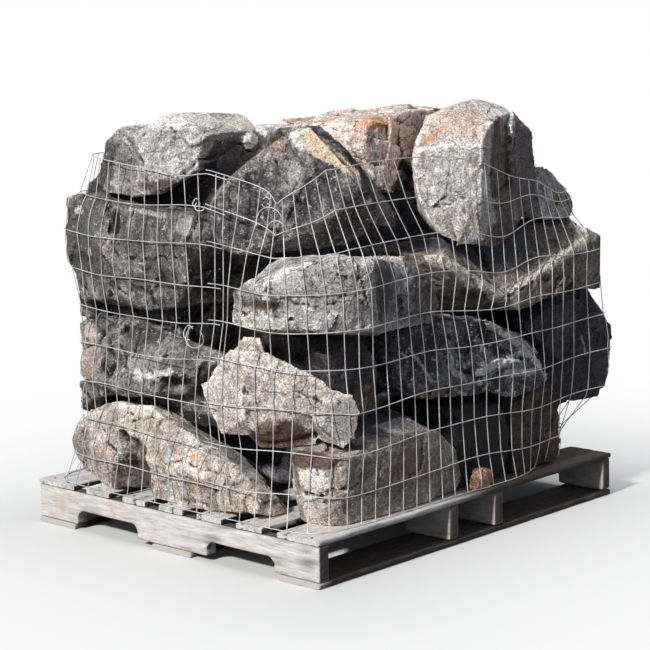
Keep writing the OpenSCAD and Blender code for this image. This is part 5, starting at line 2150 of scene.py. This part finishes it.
@dataclass
class Pallet:
    """A notched stringer pallet: worn boards nailed across four sawn stringers.

    Sizes are in millimetres.
    """

    ring_step: float = 9.0
    edge_round: float = 3.5
    cup: float = 1.6
    end_zone: float = 26.0
    end_wear: float = 1.8
    splits: int = 3
    split_depth: float = 3.5
    split_width: float = 2.5
    pale_end: float = 45.0
    near_skin: float = 4.5
    far_skin: float = 7.0

    def build(self) -> None:
        """Makes the boards and the stringers, and dresses the nails."""
        nodes = frame["nodes"]
        deck = DECK_WOOD.material("weathered deck board softwood")
        under = SHADED_UNDER_WOOD.material("weathered bottom board softwood")
        for seed, node in enumerate(
            sorted(n for n in nodes if n.startswith(("deck_board", "bottom_board")))
        ):
            on_top = node.startswith("deck_board")
            self._board(node, deck if on_top else under, seed)
        beam = STRINGER_WOOD.material("weathered stringer softwood")
        for seed, node in enumerate(sorted(n for n in nodes if n.startswith("stringer"))):
            self._stringer(node, beam, seed)
        steel = RustySteel().material()
        nails = nodes["nails"]
        nails.data.materials.clear()
        nails.data.materials.append(steel)

    def _board(self, node: str, wood: Material, seed: int) -> None:
        """Makes one board: a plank with rounded edges, split ends and a little cup.

        Args:
            node: The model's board.
            wood: Its finish.
            seed: Picks its wear.
        """
        low, high = (np.array(corner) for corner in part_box(node))
        middle, half = (low + high) / 2, (high - low) / 2
        count = int(2 * half[0] / (self.ring_step * MM))
        across = self._section(half[1], half[2])
        ends = np.array([0.35, 0.6, 0.8, 0.93, 1.0])
        lengths = np.concatenate([np.zeros(5), np.linspace(0, 1, count), np.ones(5)])
        sizes = np.concatenate([ends, np.ones(count), ends[::-1]])
        points = []
        for share, size in zip(lengths, sizes):
            ring = np.column_stack([np.full(len(across), (2 * share - 1) * half[0]), across])
            ring[:, 1] *= 1 - (1 - size) * 0.12
            ring[:, 2] *= size
            points.append(ring)
        points = np.concatenate(points)
        spots = points + middle
        inner = 1 - ease((half[0] - np.abs(points[:, 0])) / (self.end_zone * MM))
        ragged = wander(spots * (0.2, 1, 0.2), 0.035, seed) + 0.6 * wander(spots, 0.011, seed + 40)
        on_top = node.startswith("deck_board")
        worn = np.clip(0.55 + 0.45 * ragged, 0, 1.4) * inner * (1.0 if on_top else 0.25)
        points[:, 0] -= np.sign(points[:, 0]) * worn * self.end_wear * MM
        thin = 0.55 + 0.45 * wander(spots * (0, 1, 0), 0.05, seed + 9)
        points[:, 2] *= 1 - (0.14 if on_top else 0.05) * inner * np.clip(thin, 0, 1)
        face = np.sign(points[:, 2]) * (np.abs(points[:, 2]) > 0.6 * half[2])
        grain = wander(spots * (0.06, 1, 1), 0.006, seed + 20)
        bow = self.cup * (points[:, 1] / half[1]) ** 2 * wander(spots * (1, 0, 0), 0.5, seed + 3)
        points[:, 2] -= face * (0.7 + 0.5 * grain + 0.4 * np.abs(bow)) * MM
        deep = self._splits(points, half, seed)
        points[:, 2] -= face * deep * self.split_depth * MM
        side = 0.8 * wander(spots * (1, 0, 0.2), 0.08, seed + 31) + 0.8
        points[:, 1] -= np.sign(points[:, 1]) * (np.abs(points[:, 1]) > 0.9 * half[1]) * side * MM
        points += middle
        points[:, 2] = np.maximum(points[:, 2], low[2])
        piece = show(f"{node}_plank", self._tube(node, points, len(across)))
        # Painted shadow of the load, with some soil, darkens the front deck board towards its right end.
        soil_and_shade = ease((points[:, 0] + 0.2) / 0.3) * (node == "deck_board_1")
        # Painted shade along the long edges of the deck boards, at the gaps between them.
        edge = 0.9 * (
            np.abs(points[:, 1] - middle[1]) > half[1] - 1.5 * MM
        ) * (node != "deck_board_1") * on_top
        # Dirt and painted shade: splits, worn ends, the gaps between boards and the front board's shaded
        # right end.
        values = np.clip(deep + 0.3 * inner * np.clip(ragged, 0, 1) + soil_and_shade + edge, 0, 1.0)
        store(piece.data, "hollow", values)
        # The bottom boards show their own pale tone near the left end, free of the painted shade.
        store(
            piece.data, "pale",
            np.clip(1 - (points[:, 0] - low[0]) / (self.pale_end * MM), 0, 0.9) * (not on_top),
        )
        piece.data.shade_smooth()
        dress(piece, wood, Slot.DECK_WOOD, node)

    def _section(self, wide: float, thick: float) -> np.ndarray:
        """Outline of a board's section with rounded edges.

        Args:
            wide: Half of the board's width.
            thick: Half of its thickness.

        Returns:
            Its points, in metres.
        """
        edge = self.edge_round * MM
        corner = [edge * np.array([1 - math.cos(a), 1 - math.sin(a)]) for a in np.radians((0, 30, 60, 90))]
        quarter = [np.array([wide, thick]) - c for c in corner]
        flat = [np.array([y, thick]) for y in np.linspace(wide - edge, -wide + edge, 16)[1:-1]]
        top = quarter + flat + [p * (-1, 1) for p in quarter[::-1]]
        return np.array(top + [p * (-1, -1) for p in top])

    def _splits(self, points: np.ndarray, half: np.ndarray, seed: int) -> np.ndarray:
        """Finds which points of a board lie in a drying split.

        Args:
            points: Its points, around its middle.
            half: Half of its sizes.
            seed: Picks the splits.

        Returns:
            How deep each point lies, from 0 to 1.
        """
        rng = np.random.default_rng(seed + 100)
        deep = np.zeros(len(points))
        for _ in range(self.splits):
            end, where = rng.choice((-1, 1)), rng.uniform(-0.8, 0.8) * half[1]
            long = rng.uniform(0.05, 0.22)
            bend = 0.004 * wander(points * (1, 0, 0), 0.1, seed + 7)
            near = np.clip(1 - np.abs(points[:, 1] - where - bend) / (self.split_width * MM), 0, 1)
            along = ease(1 - (half[0] - end * points[:, 0]) / long)
            deep = np.maximum(deep, near * along)
        return deep

    def _tube(self, node: str, points: np.ndarray, size: int) -> Mesh:
        """Joins rings of points into a closed skin.

        Args:
            node: Names the mesh.
            points: The rings' points, one ring after the other.
            size: Number of points in a ring.

        Returns:
            The skin.
        """
        rings = len(points) // size
        faces = []
        for ring in range(rings - 1):
            for spot in range(size):
                following = (spot + 1) % size
                a, b = ring * size, (ring + 1) * size
                faces.append((a + spot, b + spot, b + following, a + following))
        half = size // 2
        for base in (0, (rings - 1) * size):
            for spot in range(half - 1):
                faces.append((base + spot, base + spot + 1, base + size - 2 - spot, base + size - 1 - spot))
        mesh = bpy.data.meshes.new(node)
        mesh.from_pydata(points.tolist(), [], faces)
        solid = bmesh.new()
        solid.from_mesh(mesh)
        bmesh.ops.recalc_face_normals(solid, faces=solid.faces)
        solid.to_mesh(mesh)
        solid.free()
        return mesh

    def _stringer(self, node: str, wood: Material, seed: int) -> None:
        """Makes one stringer: the model's own, with its arrises worn and its grain open.

        Args:
            node: The model's stringer.
            wood: Its finish.
            seed: Picks its wear.
        """
        piece = show(f"{node}_beam", as_mesh(welded(node), node))
        remesh(piece, (self.near_skin if node == "stringer_left" else self.far_skin) * MM)
        points, normals = places(piece.data), places(piece.data, "normal")
        dip = 1.0 + 0.8 * wander(points * (1, 0.08, 1), 0.012, seed) + 0.9 * wander(points, 0.09, seed + 5)
        upright = np.abs(normals[:, 2]) < 0.7
        points -= normals * (np.clip(dip, 0, 3.5) * (0.35 + 0.65 * upright))[:, None] * MM
        points[:, 2] = np.maximum(points[:, 2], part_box(node)[0].z)
        move_to(piece.data, points)
        # Painted shade on the front ends, which face away from the light, and on the tops in the gaps
        # between the deck boards.
        painted_front_and_top_shade = 0.95 * ease(-normals[:, 1] * 2 - 1) * (points[:, 1] < -0.4)
        painted_front_and_top_shade = np.maximum(painted_front_and_top_shade, 0.95 * ease(normals[:, 2] * 2 - 1) * (points[:, 2] > 0.06))
        dips = np.clip((dip - 1.6) / 2.5, painted_front_and_top_shade, 0.95)
        store(piece.data, "hollow", dips)
        piece.data.shade_smooth()
        dress(piece, wood, Slot.STRINGER_WOOD, node)


# ---- the studio ----


@dataclass
class Studio:
    """The white floor, the lamp, the sky and the camera."""

    camera_place: Point = (-4.070, -3.657, 1.401)
    heading: float = 47.94
    tilt: float = -9.25
    roll: float = -0.65
    lens: float = 113.0
    key_way: Point = (-1.0, -0.06, 0.72)
    key_strength: float = 3.5
    key_angle: float = 5.0
    fill: float = 0.27
    footprint: tuple[float, float] = (0.60, 0.50)
    floor_reach: float = 12.0
    fade_reach: float = 1.6

    def build(self) -> None:
        """Makes the floor, the lamp, the sky and the camera."""
        self._floor()
        self._key()
        self._world()
        self._camera()
        bpy.context.scene.view_settings.view_transform = "Standard"

    def _floor(self) -> None:
        """Makes a matt white floor, which stays white to the camera away from the shadow."""
        skin = bpy.data.meshes.new("floor")
        reach = self.floor_reach
        corners = [(-reach, -reach, 0), (reach, -reach, 0), (reach, reach, 0), (-reach, reach, 0)]
        skin.from_pydata(corners, [], [(0, 1, 2, 3)])
        floor = show("floor", skin)
        material, tree, place = blank("matt white paper")
        parts = add(tree, "ShaderNodeSeparateXYZ", {0: place}).outputs
        outside = []
        for part, half in zip(parts, self.footprint):
            distance = add(tree, "ShaderNodeMath", {0: part}, operation="ABSOLUTE")
            beyond = add(tree, "ShaderNodeMath", {0: distance, 1: half}, operation="SUBTRACT")
            outside.append(add(tree, "ShaderNodeMath", {0: beyond, 1: 0.0}, operation="MAXIMUM"))
        gap = add(
            tree, "ShaderNodeVectorMath",
            {0: add(tree, "ShaderNodeCombineXYZ", {0: outside[0], 1: outside[1]})}, operation="LENGTH",
        ).outputs["Value"]
        fade = add(tree, "ShaderNodeFloatCurve", {"Value": add(
            tree, "ShaderNodeMath", {0: gap, 1: self.fade_reach}, operation="DIVIDE", use_clamp=True)})
        curve = fade.mapping.curves[0].points
        curve[0].location, curve[1].location = (0.0, 0.0), (1.0, 1.0)
        curve.new(0.06, 0.35)
        curve.new(0.4, 0.8)
        seen = self._seen(tree)
        share = add(tree, "ShaderNodeMath", {0: fade, 1: seen}, operation="MULTIPLY")
        tone = add(tree, "ShaderNodeMix", {0: seen, 6: linear("#5C5C5C"), 7: linear("#E6E6E4")},
                   data_type="RGBA")
        paper = add(tree, "ShaderNodeBsdfDiffuse", {"Color": tone.outputs[2]})
        white = add(tree, "ShaderNodeEmission", {"Color": (1, 1, 1, 1), "Strength": 1.0})
        mixed = add(tree, "ShaderNodeMixShader", {0: share, 1: paper, 2: white})
        add(tree, "ShaderNodeOutputMaterial", {"Surface": mixed})
        skin.materials.append(material)

    def _seen(self, tree: NodeTree) -> Node:
        """Tells what the camera sees directly, in a gloss or through glass.

        Args:
            tree: The material's or the world's tree.

        Returns:
            The node that is 1 there and 0 elsewhere.
        """
        ray = add(tree, "ShaderNodeLightPath").outputs
        either = add(
            tree, "ShaderNodeMath", {0: ray["Is Camera Ray"], 1: ray["Is Glossy Ray"]}, operation="MAXIMUM"
        )
        return add(
            tree, "ShaderNodeMath", {0: either, 1: ray["Is Transmission Ray"]}, operation="MAXIMUM"
        )

    def _key(self) -> None:
        """Makes the lamp, a sun with soft shadows, high on the left."""
        lamp = bpy.data.lights.new("key", "SUN")
        lamp.energy = self.key_strength
        lamp.angle = math.radians(self.key_angle)
        lamp.color = linear("#FFFEFC")[:3]
        key = bpy.data.objects.new("key", lamp)
        key.rotation_mode = "QUATERNION"
        key.rotation_quaternion = Vector(self.key_way).to_track_quat("Z", "Y")
        bpy.context.scene.collection.objects.link(key)

    def _world(self) -> None:
        """Makes a pale blue sky that fills the shadows, and is white to the camera."""
        world = bpy.data.worlds.new("studio")
        world.use_nodes = True
        tree = world.node_tree
        tree.nodes.clear()
        soft = add(tree, "ShaderNodeBackground", {"Color": linear("#D6E1F4"), "Strength": self.fill})
        white = add(tree, "ShaderNodeBackground", {"Color": (1, 1, 1, 1), "Strength": 1.0})
        mixed = add(tree, "ShaderNodeMixShader", {0: self._seen(tree), 1: soft, 2: white})
        add(tree, "ShaderNodeOutputWorld", {"Surface": mixed})
        bpy.context.scene.world = world

    def _camera(self) -> None:
        """Puts the camera in front of the pallet's left corner, a little above its top."""
        data = bpy.data.cameras.new("camera")
        data.lens = self.lens
        data.sensor_width = 36.0
        data.clip_end = 60.0
        camera = bpy.data.objects.new("camera", data)
        camera.location = self.camera_place
        turn, tip = math.radians(self.heading), math.radians(self.tilt)
        way = Vector((math.sin(turn) * math.cos(tip), math.cos(turn) * math.cos(tip), math.sin(tip)))
        camera.rotation_mode = "QUATERNION"
        level = way.to_track_quat("-Z", "Y")
        camera.rotation_quaternion = level @ Quaternion((0, 0, 1), math.radians(self.roll))
        bpy.context.scene.collection.objects.link(camera)
        bpy.context.scene.camera = camera


def main() -> None:
    """Builds the pallet of boulders and the studio around it."""
    logging.basicConfig(level=logging.INFO, format="%(message)s", stream=sys.stdout)
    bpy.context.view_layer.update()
    Studio().build()
    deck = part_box("deck_board_1")
    pile = BoulderPile(LOOKS, deck[1].z)
    pile.build()
    Pallet().build()
    WireWrap(list(pile.pieces.values()), deck).build()


if __name__ == "__main__":
    main()
